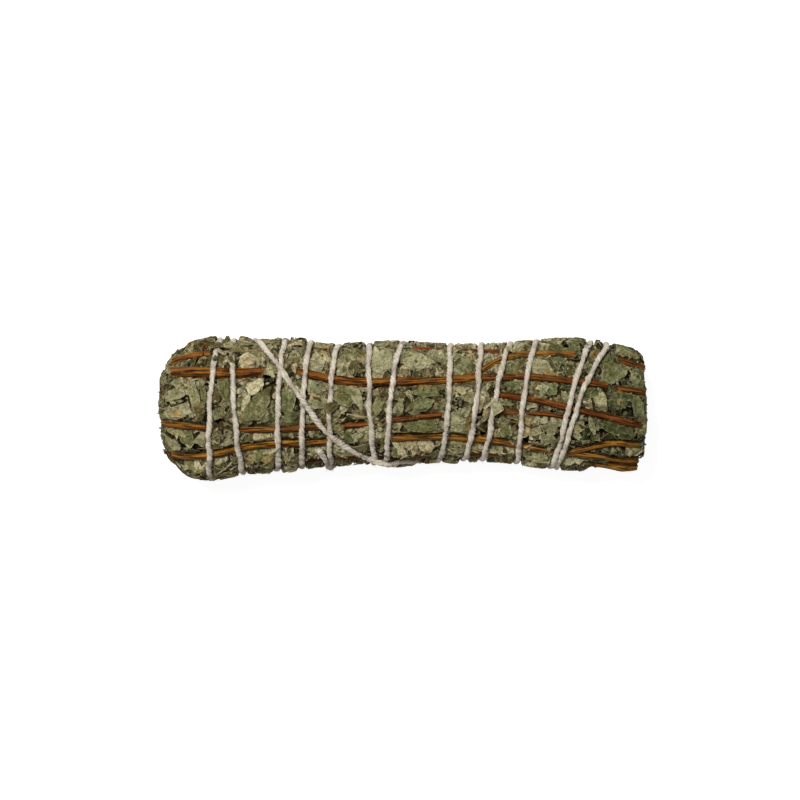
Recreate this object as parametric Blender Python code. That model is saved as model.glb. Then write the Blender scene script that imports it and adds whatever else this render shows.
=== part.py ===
"""A dried sage smudge stick: nine bunches of leaves and eighteen woody stems, bound lengthwise with one string.

The stick lies along X with its flattened underside on z = 0, and its origin is at the bottom centre of its bounding
box. A place on it is a station x along its length and a clock angle in degrees, from +Z (0) towards +Y (90). Lengths
are millimetres until a mesh or a curve is made from them.
"""

import math

import bmesh
import bpy
import numpy as np
from mathutils import Vector

MM = 0.001

# The outline that the leaf tips reach, as (x, y of the upper edge, y of the lower edge), seen from above.
OUTLINE = (
    (-55.0, 12.4, -11.8),
    (-50.0, 14.1, -14.3),
    (-43.2, 15.7, -15.8),
    (-34.2, 15.4, -14.4),
    (-23.0, 15.6, -13.4),
    (-16.3, 14.5, -12.6),
    (-0.7, 15.1, -12.4),
    (10.5, 14.6, -11.6),
    (21.7, 14.8, -11.7),
    (32.9, 15.6, -13.2),
    (44.0, 15.0, -13.9),
    (50.8, 13.8, -14.1),
    (55.0, 12.8, -13.2),
)
HEIGHT_SHARE = 0.93  # of the width
PRESSED_FLAT = 1.0  # how much of the underside the stick's own weight has levelled

WALL_GAP = 0.36  # between two bunches
CLEARANCE = 0.3  # round a stem or the string where it lies in the leaves
CORE_RADIUS = 2.8  # where the bunches meet the middle stems
SHOULDER_DEPTH = 0.4  # under the leaf tips, where a bunch starts to fall away to its seam
EMPTY_SEAM_DEPTH = 1.2  # where no stem lies in the seam
LEFT_ROUNDING = (6.0, 4.6)  # how long the folded-over left ends are rounded, and how deep
ROUNDED_SHARE = 0.98  # of a quarter turn, so that the end still has a face
RIGHT_ROUNDING = (2.5, 1.5)
SWELL_REACH = 3.5  # from a turn of the string to where the leaves have swelled up again
SWELL_SLOPE = 0.35

STRING_RADIUS = 0.625
STRING_DEPTH = -0.3  # of its centre line: proud of the leaf tips
STRING_ANGLE = 27  # clock degrees between its points where it goes round
STRING_LIFT = 1.5  # where it rides over an earlier turn
LIFT_REACH = (1.3, 3.4)  # lifted whole within the first distance, and not at all past the second
SHARED_POINTS = 3  # at the start of the last pass, which the last turn already has
NEWEST_POINTS = 4  # of the turns, which the last pass runs on from and so isn't lifted over
SLANT_DEPTH = -1.0  # the slanting run lies on the leaves, not in them
SLANT_SPACING = 3.5
RISES_FROM, RISES_OVER = -250, 30  # the clock angle where the last pass starts to rise onto the leaves
RISEN = -290  # the clock angle past which it lies on them, in no groove
GROOVE_DEPTH = 1.0  # of the leaves under a turn of the string
GROOVE_RISE = 3.5  # how far a groove's cutter stands out of the leaves
LOWEST_STRING = STRING_RADIUS + 0.05
LOWEST_IN_GROOVE = LOWEST_STRING + STRING_RADIUS + 3.2 * CLEARANCE

STEM_DEPTH = 0.85  # from the leaf tips to a stem's bark
STEM_SPACING = 24.0  # the most between its points
STEM_BEND = 0.25  # the most that it bends between them
LOWEST_BARK = 1.95  # above the floor, with room for the string beneath

# The seams between neighbouring bunches, as (x, clock), in order round the stick from its upper edge down the front.
SEAMS = (
    [(-55, 78), (-40, 78), (-21, 75), (-13, 78), (1, 79), (9.3, 79), (15.6, 75), (21.6, 70), (27.2, 77), (40, 80),
     (55, 80)],
    [(-55, 46), (-51.7, 44), (-48, 40), (-42.7, 35), (-31, 35), (-20.5, 32), (-13.5, 27), (-8.5, 24), (-1.8, 22.6),
     (9.4, 25), (17, 27.5), (25.8, 28), (38, 23.4), (45, 21.4), (55, 19)],
    [(-55, -17.6), (-48, -16.2), (-43.7, -17), (-33.8, -22.5), (-26, -24.3), (-18.6, -24), (-8, -21.5), (-2.4, -18),
     (8.5, -14), (20, -11), (29, -10), (36, -12), (45, -19), (55, -27)],
    [(-55, -61), (-48.5, -52), (-41.5, -44.5), (-34, -41), (-27, -41), (-18, -43), (-2.1, -38.5),
     (4.5, -39.5), (12.2, -42.5), (20.3, -48), (29.8, -53.5), (38, -56), (46, -60.5), (55, -67)],
    [(-55, -80), (-35.2, -80), (-22, -78), (-9.6, -78), (4.7, -78), (17.2, -80), (23.1, -82), (41.3, -79),
     (55, -82)],
    [(-55, 254), (-12, 249), (20, 253), (55, 250)],
    [(-55, 207), (-18, 203), (18, 209), (55, 205)],
    [(-55, 156), (-24, 161), (8, 155), (55, 159)],
    [(-55, 108), (-20, 114), (14, 109), (55, 113)],
)
# The stems that lie in a seam: its number, the stem's left and right ends, and its radii there.
SEAM_STEMS = {
    "stem_upper_edge": (0, -21.0, 21.5, 0.6, 0.6),
    "stem_main": (1, -51.7, 54.0, 1.2, 0.65),
    "stem_middle_left": (2, -53.9, 8.5, 0.7, 0.65),
    "stem_splinter": (2, 20.0, 36.0, 0.55, 0.5),
    "stem_lower": (3, -51.7, 52.6, 0.9, 0.8),
    "stem_lower_edge": (4, -35.2, 52.4, 0.8, 0.8),
    "stem_back_lower": (5, -52.0, 52.8, 0.8, 0.8),
    "stem_back_upper": (8, -52.0, 53.5, 0.9, 0.8),
}
# The stems that lie in a groove in one bunch: each one's radii at its left and right ends, and its course.
LOOSE_STEMS = {
    "stem_fork": (0.75, 0.7, [(19, 43), (22.9, 55.5), (25.5, 59), (29.8, 59.7), (38.5, 57.8)]),
    "stem_upper_left": (0.85, 0.7, [(-51.7, 60), (-48, 62), (-42.7, 60), (-28, 57)]),
    "stem_middle_right": (0.75, 0.75, [(15, 11), (21.6, 7.5), (28.2, 3.8), (36.1, -2.7), (46.6, -10.4),
                                       (53.2, -15.7)]),
    "stem_lower_right": (0.75, 0.7, [(40.5, -47), (44, -40.5), (46.6, -37.3), (52.6, -38.2)]),
    "stem_upper_right": (0.7, 0.65, [(45, 57), (48, 57), (50.6, 55.6), (55, 51)]),
    "stem_under_back": (1.0, 0.8, [(-51, 136), (-6, 131), (22, 135), (52.5, 133)]),
    "stem_under_front": (0.95, 0.75, [(-53, 229), (-18, 233), (18, 229), (54, 231)]),
}
CORE_STEM_RADIUS = 0.95
CORE_STEM_PLACE = 1.25  # from the stick's middle line
CORE_STEM_CLOCK = 20  # of the first one
CORE_STEM_ENDS = ((-50.5, 54.0), (-51.5, 53.0), (-49.0, 54.6))

# Each bunch's left and right ends. Two lower ones on the right stop short of their stems.
BUNCH_ENDS = (
    (-53.4, 54.3),
    (-55.0, 54.8),
    (-54.5, 54.4),
    (-53.5, 46.5),
    (-52.4, 43.0),
    (-53.4, 50.5),
    (-54.0, 53.6),
    (-53.6, 54.2),
    (-52.4, 53.8),
)
RESTING_BUNCH = 6  # its swellings are levelled by the floor

# Where each of the thirteen turns crosses the front: x at its top, its middle and its bottom, from the first turn
# wound, at the right, to the last.
TURNS = (
    (45.5, 38.8, 34.9),
    (41.7, 36.9, 32.3),
    (29.6, 26.7, 25.6),
    (23.7, 20.4, 18.0),
    (17.4, 16.3, 13.9),
    (10.5, 10.1, 8.3),
    (-0.4, -2.9, -3.8),
    (-7.6, -7.5, -6.4),
    (-14.8, -16.3, -16.3),
    (-20.8, -22.3, -22.6),
    (-26.5, -27.8, -27.9),
    (-38.0, -37.5, -35.9),
    (-41.1, -42.9, -43.1),
)
FRONT_EDGE = 75  # the clock angle at which a turn leaves the front
START = (42.6, 150)
# The last turn goes behind, over the turn before it, and comes up on the left. The string then runs slantwise to the
# right across the front, over three turns. It hooks round a turn at the lower edge and ends as a short free tail.
LAST_PASS = ((-41.6, -98), (-37.2, -122), (-35.4, -180), (-33.8, -240))
SLANT = (
    (-32.3, 76), (-29.9, 50), (-27.5, 33), (-25, 17), (-22.1, 2), (-19.5, -13), (-16.7, -27), (-13.5, -40),
    (-10.6, -52), (-7.2, -64), (-3.8, -72), (1.5, -84), (6, -102), (8.6, -112), (7, -120), (2, -124), (-5, -124),
    (-12, -116), (-16.2, -88), (-17.1, -68), (-18.6, -45),
)


def along(stations, x):
    """The values at x on a smooth curve through stations, each of them an x and its values."""
    table = np.array(stations, float)
    places, values = table[:, 0], table[:, 1:]
    slopes = np.gradient(values, places, axis=0)
    x = np.clip(x, places[0], places[-1])
    i = int(np.clip(np.searchsorted(places, x, side="right") - 1, 0, len(places) - 2))
    span = places[i + 1] - places[i]
    t = (x - places[i]) / span
    from_left = (1 - t) ** 2 * ((1 + 2 * t) * values[i] + t * span * slopes[i])
    from_right = t * t * ((3 - 2 * t) * values[i + 1] - (1 - t) * span * slopes[i + 1])
    return from_left + from_right


def section(x):
    """The stick's cross-section at x: the y and z of its middle, its half width and its half height."""
    upper, lower = along(OUTLINE, x)
    half_width = (upper - lower) / 2
    half_height = HEIGHT_SHARE * half_width
    return (upper + lower) / 2, half_height - PRESSED_FLAT, half_width, half_height


def under_tips(x, clock, depth, lowest=0.0):
    """The point this deep under the leaf tips, but no lower than lowest."""
    y, z, half_width, half_height = section(x)
    angle = math.radians(clock)
    z += (half_height - depth) * math.cos(angle)
    return Vector((x, y + (half_width - depth) * math.sin(angle), max(z, lowest)))


def near_middle(x, clock, radius):
    """The point at this radius from the stick's middle line."""
    y, z = section(x)[:2]
    angle = math.radians(clock)
    return Vector((x, y + radius * math.sin(angle), z + radius * math.cos(angle)))


def outward(clock):
    angle = math.radians(clock)
    return Vector((0, math.sin(angle), math.cos(angle)))


def material(name, colour, roughness):
    made = bpy.data.materials.new(name)
    made.diffuse_color = (*colour, 1)
    made.use_nodes = True
    shader = made.node_tree.nodes["Principled BSDF"]
    shader.inputs["Base Color"].default_value = (*colour, 1)
    shader.inputs["Roughness"].default_value = roughness
    shader.inputs["Metallic"].default_value = 0
    return made


def skin(name, rings):
    """A closed mesh object from rings of points, each in mm, with its ends capped."""
    bm = bmesh.new()
    rows = [[bm.verts.new(point * MM) for point in ring] for ring in rings]
    count = len(rows[0])
    for row, following in zip(rows, rows[1:]):
        for k in range(count):
            after = (k + 1) % count
            bm.faces.new((row[k], row[after], following[after], following[k]))
    bm.faces.new(rows[0])
    bm.faces.new(rows[-1])
    bmesh.ops.recalc_face_normals(bm, faces=bm.faces)
    mesh = bpy.data.meshes.new(name)
    bm.to_mesh(mesh)
    bm.free()
    made = bpy.data.objects.new(name, mesh)
    bpy.context.scene.collection.objects.link(made)
    return made


def tube(name, points, radii, look):
    """A curve object with round section and filled ends through points in mm."""
    curve = bpy.data.curves.new(name, "CURVE")
    curve.dimensions = "3D"
    curve.bevel_depth = MM
    curve.bevel_resolution = 1
    curve.use_fill_caps = True
    spline = curve.splines.new("POLY")
    spline.points.add(len(points) - 1)
    for place, point, radius in zip(spline.points, points, radii):
        place.co = (*(point * MM), 1)
        place.radius = radius
    curve.materials.append(look)
    made = bpy.data.objects.new(name, curve)
    bpy.context.scene.collection.objects.link(made)
    return made


def groove(name, points, clocks, half_width, cutters):
    """A hidden cutter for the slot that a stem or the string lies in, open outwards."""
    rings = []
    for i, (point, clock) in enumerate(zip(points, clocks)):
        ahead = points[min(i + 1, len(points) - 1)] - points[max(i - 1, 0)]
        out = outward(clock)
        across = ahead.cross(out).normalized() * half_width
        floor = point - out * half_width
        roof = point + out * GROOVE_RISE
        rings.append([floor - across, floor + across, roof + across, roof - across])
    made = skin(name, rings)
    made.hide_render = True
    made.display_type = "WIRE"
    bpy.context.scene.collection.objects.unlink(made)
    cutters.objects.link(made)


def longer(points, by):
    """The points with the first and last moved outwards along the course."""
    first = points[0] + (points[0] - points[1]).normalized() * by
    last = points[-1] + (points[-1] - points[-2]).normalized() * by
    return [first, *points[1:-1], last]


def turn_stations():
    """The (clock, x) stations of the turns, with clock angles that count on through every turn, lowest first."""
    stations = [(START[1], START[0])]
    for turn, crossings in enumerate(TURNS):
        clocks = (FRONT_EDGE, 0, -FRONT_EDGE)
        stations += [(clock - 360 * turn, x) for x, clock in zip(crossings, clocks)]
    return stations[::-1]


def evenly(stations, spacing):
    """Stations about this far apart on a smooth curve through the given (x, clock) stations."""
    points = np.array(stations, float)
    mm_per_degree = 0.25
    steps = np.hypot(np.diff(points[:, 0]), np.diff(points[:, 1]) * mm_per_degree)
    places = np.concatenate([[0], np.cumsum(steps)])
    table = np.column_stack([places, points])
    count = round(places[-1] / spacing) + 1
    return [tuple(along(table, place)) for place in np.linspace(0, places[-1], count)]


def eased(share):
    share = min(max(share, 0), 1)
    return share * share * (3 - 2 * share)


def lift_over(here, earlier):
    """How far the string stands off at a point to pass over the strands laid earlier."""
    nearest = min(
        (here - a - (b - a) * min(max((here - a).dot(b - a) / (b - a).length_squared, 0), 1)).length
        for a, b in zip(earlier, earlier[1:])
    )
    whole, none = LIFT_REACH
    return STRING_LIFT * eased((none - nearest) / (none - whole))


def rounding(x, ends):
    """How far a bunch's rounded ends draw its surface in at x."""
    (left, right), (long_left, deep_left), (long_right, deep_right) = ends, LEFT_ROUNDING, RIGHT_ROUNDING
    from_left = max(0, (left + long_left - x) / long_left)
    from_right = max(0, (x - right + long_right) / long_right)
    return deep_left * (1 - math.sqrt(1 - ROUNDED_SHARE * from_left**2)) + deep_right * from_right**2


def rows_at(clock, ends, turns, swell_places):
    """The (x, depth) of each row of a bunch where it passes this clock angle, pressed in under every turn."""
    left, right = ends
    grooves_here = [along(turns, clock - 360 * turn)[0] for turn in reversed(range(len(TURNS)))]
    places = [left + share * LEFT_ROUNDING[0] for share in (0, 0.12, 0.4, 0.85)]
    rows = [(x, 0) for x in [*places, grooves_here[0] - SWELL_REACH]]
    for here, following in zip(grooves_here, grooves_here[1:]):
        rows.append((here, GROOVE_DEPTH))
        swell = max(0, GROOVE_DEPTH - SWELL_SLOPE * (following - here) / 2)
        rows += [(here + share * (following - here), swell) for share in swell_places]
    rows.append((grooves_here[-1], GROOVE_DEPTH))
    long_right = RIGHT_ROUNDING[0]
    places = [grooves_here[-1] + SWELL_REACH, right - long_right, right - 0.4 * long_right, right]
    rows += [(x, 0) for x in places]
    return rows


def stem_depth(x, clock, radius):
    """How deep a stem's centre line lies: deeper on the underside, to clear the string under it."""
    _, middle, _, half_height = section(x)
    down = -math.cos(math.radians(clock))
    sunk = half_height - (middle - LOWEST_BARK - radius) / down if down > 0.1 else 0
    return max(STEM_DEPTH + radius, sunk)


def seam_depth(number, x, clock):
    """How deep the bottom of a seam's valley is, so that its sides clear the stem in it."""
    deepest = EMPTY_SEAM_DEPTH
    for seam, left, right, left_radius, right_radius in SEAM_STEMS.values():
        if seam == number:
            share = min(max((x - left) / (right - left), 0), 1)
            radius = left_radius + share * (right_radius - left_radius)
            clear = stem_depth(x, clock, radius) + (radius + CLEARANCE) * math.sqrt(2) - WALL_GAP / 2
            deepest = max(deepest, clear)
    return deepest


def seam_at_row(number, row, rows_here):
    """A seam's x and clock where the given row of a bunch meets it, the row's x depending on the clock."""
    x = 0
    for _ in range(6):
        clock = along(SEAMS[number], x)[0]
        x = rows_here(clock)[row][0]
    return x, clock


def bending(place, left, right):
    """Stations from left up to right, closer together where the course through place bends."""
    middle = (left + right) / 2
    bend = (place(middle) - (place(left) + place(right)) / 2).length
    if bend > STEM_BEND or right - left > STEM_SPACING:
        return bending(place, left, middle) + bending(place, middle, right)
    return [left]


def stem(name, place, left, right, left_radius, right_radius, look):
    """A tapering stem along the course through place; returns its stations and its middles there."""
    stations = [*bending(place, left, right), right]
    radii = [left_radius + (x - left) / (right - left) * (right_radius - left_radius) for x in stations]
    middles = [place(x) for x in stations]
    tube(name, middles, radii, look)
    return stations, middles


def leaf_bunch(number, turns, look):
    """A lengthwise wedge of leaves between two seams, swelling out between the turns of the string."""
    ends, following = BUNCH_ENDS[number], (number + 1) % len(SEAMS)
    swell_places = (0.28, 0.72) if number == RESTING_BUNCH else (0.5,)
    across_back = 360 if SEAMS[following][0][1] > SEAMS[number][0][1] else 0

    def rows_here(clock):
        return rows_at(clock, ends, turns, swell_places)

    def rows_there(clock):
        return rows_at(clock - across_back, ends, turns, swell_places)

    rings = []
    for row in range(len(rows_here(0))):
        start_x, start = seam_at_row(number, row, rows_here)
        end_x, end = seam_at_row(following, row, rows_there)
        end_valley = seam_depth(following, end_x, end)
        start_valley = seam_depth(number, start_x, start)
        end -= across_back
        degrees = math.degrees(1 / section(start_x)[3])
        half_gap = WALL_GAP / 2
        most = 0.45 * (start - end) / degrees
        start_aside = min(start_valley - SHOULDER_DEPTH + half_gap, most)
        end_aside = min(end_valley - SHOULDER_DEPTH + half_gap, most)
        outer = [
            (start - half_gap * degrees, start_valley),
            (start - start_aside * degrees, start_valley - start_aside + half_gap),
            ((start - start_aside * degrees + end + end_aside * degrees) / 2, 0),
            (end + end_aside * degrees, end_valley - end_aside + half_gap),
            (end + half_gap * degrees, end_valley),
        ]
        ring = []
        for clock, depth in outer:
            x, pressed = rows_here(clock)[row]
            lowest = LOWEST_IN_GROOVE if pressed > GROOVE_DEPTH / 4 else 0
            ring.append(under_tips(x, clock, max(depth, pressed) + rounding(x, ends), lowest))
        at_core = math.degrees(half_gap / CORE_RADIUS)
        ring.append(near_middle(ring[4].x, end + at_core, CORE_RADIUS))
        ring.append(near_middle(ring[0].x, start - at_core, CORE_RADIUS))
        rings.append(ring)
    made = skin(f"leaf_bunch_{number + 1}", rings)
    made.data.materials.append(look)
    return made


for old in list(bpy.data.objects):
    bpy.data.objects.remove(old, do_unlink=True)
for old in list(bpy.data.collections):
    bpy.data.collections.remove(old)

leaf_look = material("dried_sage_leaf", (0.235, 0.215, 0.115), 0.9)
bark_look = material("sage_stem_bark", (0.125, 0.042, 0.014), 0.6)
string_look = material("cotton_string", (0.565, 0.51, 0.42), 0.9)
grooves = bpy.data.collections.new("grooves")
bpy.context.scene.collection.children.link(grooves)

# The stems near the outside. Those that don't lie in a seam get a groove.
outer_stems = {name: (SEAMS[seam], *ends_and_radii) for name, (seam, *ends_and_radii) in SEAM_STEMS.items()}
for name, (left_radius, right_radius, course) in LOOSE_STEMS.items():
    outer_stems[name] = (course, course[0][0], course[-1][0], left_radius, right_radius)
for name, (course, left, right, left_radius, right_radius) in outer_stems.items():

    def place(x, course=course, left=left, right=right, left_radius=left_radius, right_radius=right_radius):
        radius = left_radius + (x - left) / (right - left) * (right_radius - left_radius)
        clock = along(course, x)[0]
        return under_tips(x, clock, stem_depth(x, clock, radius))

    stations, middles = stem(name, place, left, right, left_radius, right_radius, bark_look)
    if name in LOOSE_STEMS:
        clocks = [along(course, x)[0] for x in stations]
        half_width = max(left_radius, right_radius) + CLEARANCE
        groove(f"{name}_groove", longer(middles, 1.0), clocks, half_width, grooves)

# The stems in the middle, which the bunches close round.
for number, (left, right) in enumerate(CORE_STEM_ENDS):

    def place(x, clock=CORE_STEM_CLOCK + number * 360 / len(CORE_STEM_ENDS)):
        return near_middle(x, clock, CORE_STEM_PLACE)

    stem(f"stem_core_{number + 1}", place, left, right, CORE_STEM_RADIUS, CORE_STEM_RADIUS, bark_look)

# The string: thirteen turns, the last pass behind, then the slanting run over the turns and its tail.
turns = turn_stations()
last_clock, first_clock = turns[0][0], turns[-1][0]
count = round((first_clock - last_clock) / STRING_ANGLE) + 1
string = [
    under_tips(along(turns, clock)[0], clock, STRING_DEPTH, LOWEST_STRING)
    for clock in np.linspace(first_clock, last_clock, count)
]
wound = 360 * (len(TURNS) - 1)
joining = [(along(turns, last_clock + back)[0], last_clock + back + wound) for back in (STRING_ANGLE, 0)]
slant_front = [(x, clock - 360) for x, clock in SLANT]
earlier = string[:-NEWEST_POINTS]
pass_points, pass_clocks = [], []
for x, clock in evenly([*joining, *LAST_PASS, *slant_front], SLANT_SPACING)[SHARED_POINTS:]:
    on_leaves = eased((RISES_FROM - clock) / RISES_OVER)
    depth = STRING_DEPTH + on_leaves * (SLANT_DEPTH - STRING_DEPTH)
    lift = lift_over(under_tips(x, clock, STRING_DEPTH, LOWEST_STRING), earlier)
    middle = under_tips(x, clock, min(depth, STRING_DEPTH - lift), LOWEST_STRING)
    string.append(middle)
    if clock > RISEN:
        pass_points.append(middle)
        pass_clocks.append(clock)
tube("binding_string", string, [STRING_RADIUS] * len(string), string_look)
groove("last_pass_groove", longer(pass_points, 1.0), pass_clocks, STRING_RADIUS + CLEARANCE, grooves)

# The leaves, cut clear of the loose stems and the string's last pass.
for number in range(len(SEAMS)):
    bunch = leaf_bunch(number, turns, leaf_look)
    cut = bunch.modifiers.new("grooves", "BOOLEAN")
    cut.operation = "DIFFERENCE"
    cut.solver = "EXACT"
    cut.operand_type = "COLLECTION"
    cut.collection = grooves
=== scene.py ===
"""A dried sage smudge stick: crumpled sage leaves and their woody stems, bound with one cotton string.

The stick lies along X. A place on it is x along its length and a clock angle in degrees, from +Z (0) towards
+Y (90). Lengths are millimetres until a mesh is made, which turns them to metres.
"""

import itertools
import math

import bmesh
import bpy
import numpy as np
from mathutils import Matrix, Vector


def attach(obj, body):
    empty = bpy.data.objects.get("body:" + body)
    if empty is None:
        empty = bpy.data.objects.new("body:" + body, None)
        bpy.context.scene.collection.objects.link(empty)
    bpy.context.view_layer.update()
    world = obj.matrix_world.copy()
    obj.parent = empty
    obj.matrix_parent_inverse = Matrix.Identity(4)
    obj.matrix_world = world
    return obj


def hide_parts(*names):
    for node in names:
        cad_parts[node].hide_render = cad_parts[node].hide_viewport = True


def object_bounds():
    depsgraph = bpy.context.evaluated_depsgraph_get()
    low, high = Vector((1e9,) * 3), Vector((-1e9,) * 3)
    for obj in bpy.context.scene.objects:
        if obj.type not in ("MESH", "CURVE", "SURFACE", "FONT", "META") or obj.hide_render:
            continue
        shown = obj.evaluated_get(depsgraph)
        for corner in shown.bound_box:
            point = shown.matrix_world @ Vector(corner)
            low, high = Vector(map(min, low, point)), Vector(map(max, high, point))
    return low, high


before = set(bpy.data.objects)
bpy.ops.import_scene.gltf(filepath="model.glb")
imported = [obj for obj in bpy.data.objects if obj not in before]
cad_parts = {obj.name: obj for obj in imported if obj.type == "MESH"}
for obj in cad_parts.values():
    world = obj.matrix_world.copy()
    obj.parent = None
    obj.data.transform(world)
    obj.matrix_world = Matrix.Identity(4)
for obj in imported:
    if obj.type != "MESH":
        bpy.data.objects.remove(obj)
cad_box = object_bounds()
bpy.ops.object.select_all(action="DESELECT")

# ------------------------------------------------------------------------------------------------------------
# Table, light and camera. The stick lies on a white table under one soft lamp beyond its upper edge, and the
# camera looks straight down on it.
MM = 0.001
TABLE_SIZE = 3.0
VIEW_CENTRE = (-0.0007, 0.0020)
VIEW_WIDTH = 0.1789  # from side to side, at the height of the stick's middle
LENS, SENSOR = 300.0, 36.0
LAMP_FROM = (-0.26, 0.34, 1.02)
LAMP_SIZE = 0.32
LAMP_WATTS = 11.6
SKY_LEVEL = 0.28
TABLE_GLOW = 0.90  # of the white that the camera sees, so that the shadow stays soft


def colour(code):
    """A colour's sRGB hex code as the linear values that a shader takes."""
    parts = [int(code[i : i + 2], 16) / 255 for i in (1, 3, 5)]
    return (*[part / 12.92 if part <= 0.04045 else ((part + 0.055) / 1.055) ** 2.4 for part in parts], 1)


def add(kind, inputs, out=0, **settings):
    """Adds a shader node to the tree with its settings. An input is a value or the socket it is linked from.

    Returns the node's output, or all of them where out is None.
    """
    made = tree.nodes.new("ShaderNode" + kind)
    for name, value in settings.items():
        setattr(made, name, value)
    for name, value in inputs.items():
        if isinstance(value, bpy.types.NodeSocket):
            tree.links.new(value, made.inputs[name])
        else:
            made.inputs[name].default_value = value
    return made.outputs if out is None else made.outputs[out]


def empty_tree(owner):
    """A material's or the world's node tree, with nothing in it yet."""
    owner.use_nodes = True
    owner.node_tree.nodes.clear()
    return owner.node_tree


def seen_directly():
    """1 where the camera sees a surface directly, in a reflection or through glass, and 0 for its light."""
    rays = add("LightPath", {}, None)
    either = add("Math", {0: rays["Is Camera Ray"], 1: rays["Is Glossy Ray"]})
    return add("Math", {0: either, 1: rays["Is Transmission Ray"]}, use_clamp=True)


bpy.ops.mesh.primitive_plane_add(size=TABLE_SIZE)
table = bpy.context.object
table.name = "white_table"
table_top = bpy.data.materials.new("white table, matt laminate")
tree = empty_tree(table_top)
for_light = add("BsdfDiffuse", {"Color": colour("#D6D5D2")})
shaded = add("BsdfDiffuse", {"Color": colour("#A0A0A0")})
glow = add("Emission", {"Color": (1, 1, 1, 1), "Strength": TABLE_GLOW})
for_camera = add("AddShader", {0: shaded, 1: glow})
board = add("MixShader", {0: seen_directly(), 1: for_light, 2: for_camera})
add("OutputMaterial", {"Surface": board}, None)
table.data.materials.append(table_top)

world = bpy.data.worlds.new("white studio")
tree = empty_tree(world)
level = add("MapRange", {0: seen_directly(), 3: SKY_LEVEL, 4: 1.0})
sky = add("Background", {"Color": (1, 1, 1, 1), "Strength": level})
add("OutputWorld", {"Surface": sky}, None)
bpy.context.scene.world = world

bpy.ops.object.light_add(type="AREA", location=LAMP_FROM)
lamp = bpy.context.object
lamp.name = "soft_lamp"
lamp.data.size = LAMP_SIZE
lamp.data.energy = LAMP_WATTS
from_lamp = -np.array(LAMP_FROM)
tilt = math.acos(-from_lamp[2] / np.linalg.norm(from_lamp))
lamp.rotation_euler = (tilt, 0, math.atan2(from_lamp[1], from_lamp[0]) - math.pi / 2)

middle_height = (cad_box[0][2] + cad_box[1][2]) / 2
bpy.ops.object.camera_add(location=(*VIEW_CENTRE, middle_height + VIEW_WIDTH * LENS / SENSOR))
camera = bpy.context.object
camera.data.lens = LENS
camera.data.sensor_width = SENSOR
camera.data.clip_start = 0.01
bpy.context.scene.camera = camera
bpy.context.scene.view_settings.view_transform = "Standard"

# ------------------------------------------------------------------------------------------------------------
# Stems: eighteen dried sage twigs, cut to length with shears, so each end shows pale pith. They are woody and
# shrunken, with lengthwise ridges, swellings at the leaf pairs, and bark from ochre to dark red-brown.

# The outline that the leaf tips reach, as (x, y of the upper edge, y of the lower edge), seen from above.
OUTLINE = (
    (-55.0, 12.4, -11.8), (-50.0, 14.1, -14.3), (-43.2, 15.7, -15.8), (-34.2, 15.4, -14.4),
    (-23.0, 15.6, -13.4), (-16.3, 14.5, -12.6), (-0.7, 15.1, -12.4), (10.5, 14.6, -11.6),
    (21.7, 14.8, -11.7), (32.9, 15.6, -13.2), (44.0, 15.0, -13.9), (50.8, 13.8, -14.1), (55.0, 12.8, -13.2),
)
HEIGHT_SHARE = 0.93  # of the width
PRESSED_FLAT = 1.0  # how much of the underside the stick's own weight has levelled
DEGREE = math.radians(1)
STEM_DEPTH = 0.75  # from the leaf tips to a stem's bark
LOWEST_BARK = 1.95  # above the table, with room for the string beneath
CORE_STEM_PLACE = 1.25  # from the stick's middle line
STEM_SIDES = 14
STEM_STEP = 0.55  # along the bark, between rings

# The seams between neighbouring bunches of leaves, as (x, clock), in order round the stick from its upper
# edge down the front. Most stems lie in one of them.
SEAMS = (
    [(-55, 78), (-40, 78), (-21, 75), (-13, 78), (1, 79), (9.3, 79), (15.6, 75), (21.6, 70), (27.2, 77),
     (40, 80), (55, 80)],
    [(-55, 46), (-51.7, 44), (-48, 40), (-42.7, 35), (-31, 35), (-20.5, 32), (-13.5, 27), (-8.5, 24),
     (-1.8, 22.6), (9.4, 25), (17, 27.5), (25.8, 28), (38, 23.4), (45, 21.4), (55, 19)],
    [(-55, -17.6), (-48, -16.2), (-43.7, -17), (-33.8, -22.5), (-26, -24.3), (-18.6, -24), (-8, -21.5),
     (-2.4, -18), (8.5, -14), (20, -11), (29, -10), (36, -12), (45, -19), (55, -27)],
    [(-55, -61), (-48.5, -52), (-41.5, -44.5), (-34, -41), (-27, -41), (-18, -43), (-2.1, -38.5),
     (4.5, -39.5), (12.2, -42.5), (20.3, -48), (29.8, -53.5), (38, -56), (46, -60.5), (55, -67)],
    [(-55, -80), (-35.2, -80), (-22, -78), (-9.6, -78), (4.7, -78), (17.2, -80), (23.1, -82), (41.3, -79),
     (55, -82)],
    [(-55, 254), (-12, 249), (20, 253), (55, 250)],
    [(-55, 207), (-18, 203), (18, 209), (55, 205)],
    [(-55, 156), (-24, 161), (8, 155), (55, 159)],
    [(-55, 108), (-20, 114), (14, 109), (55, 113)],
)

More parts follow.
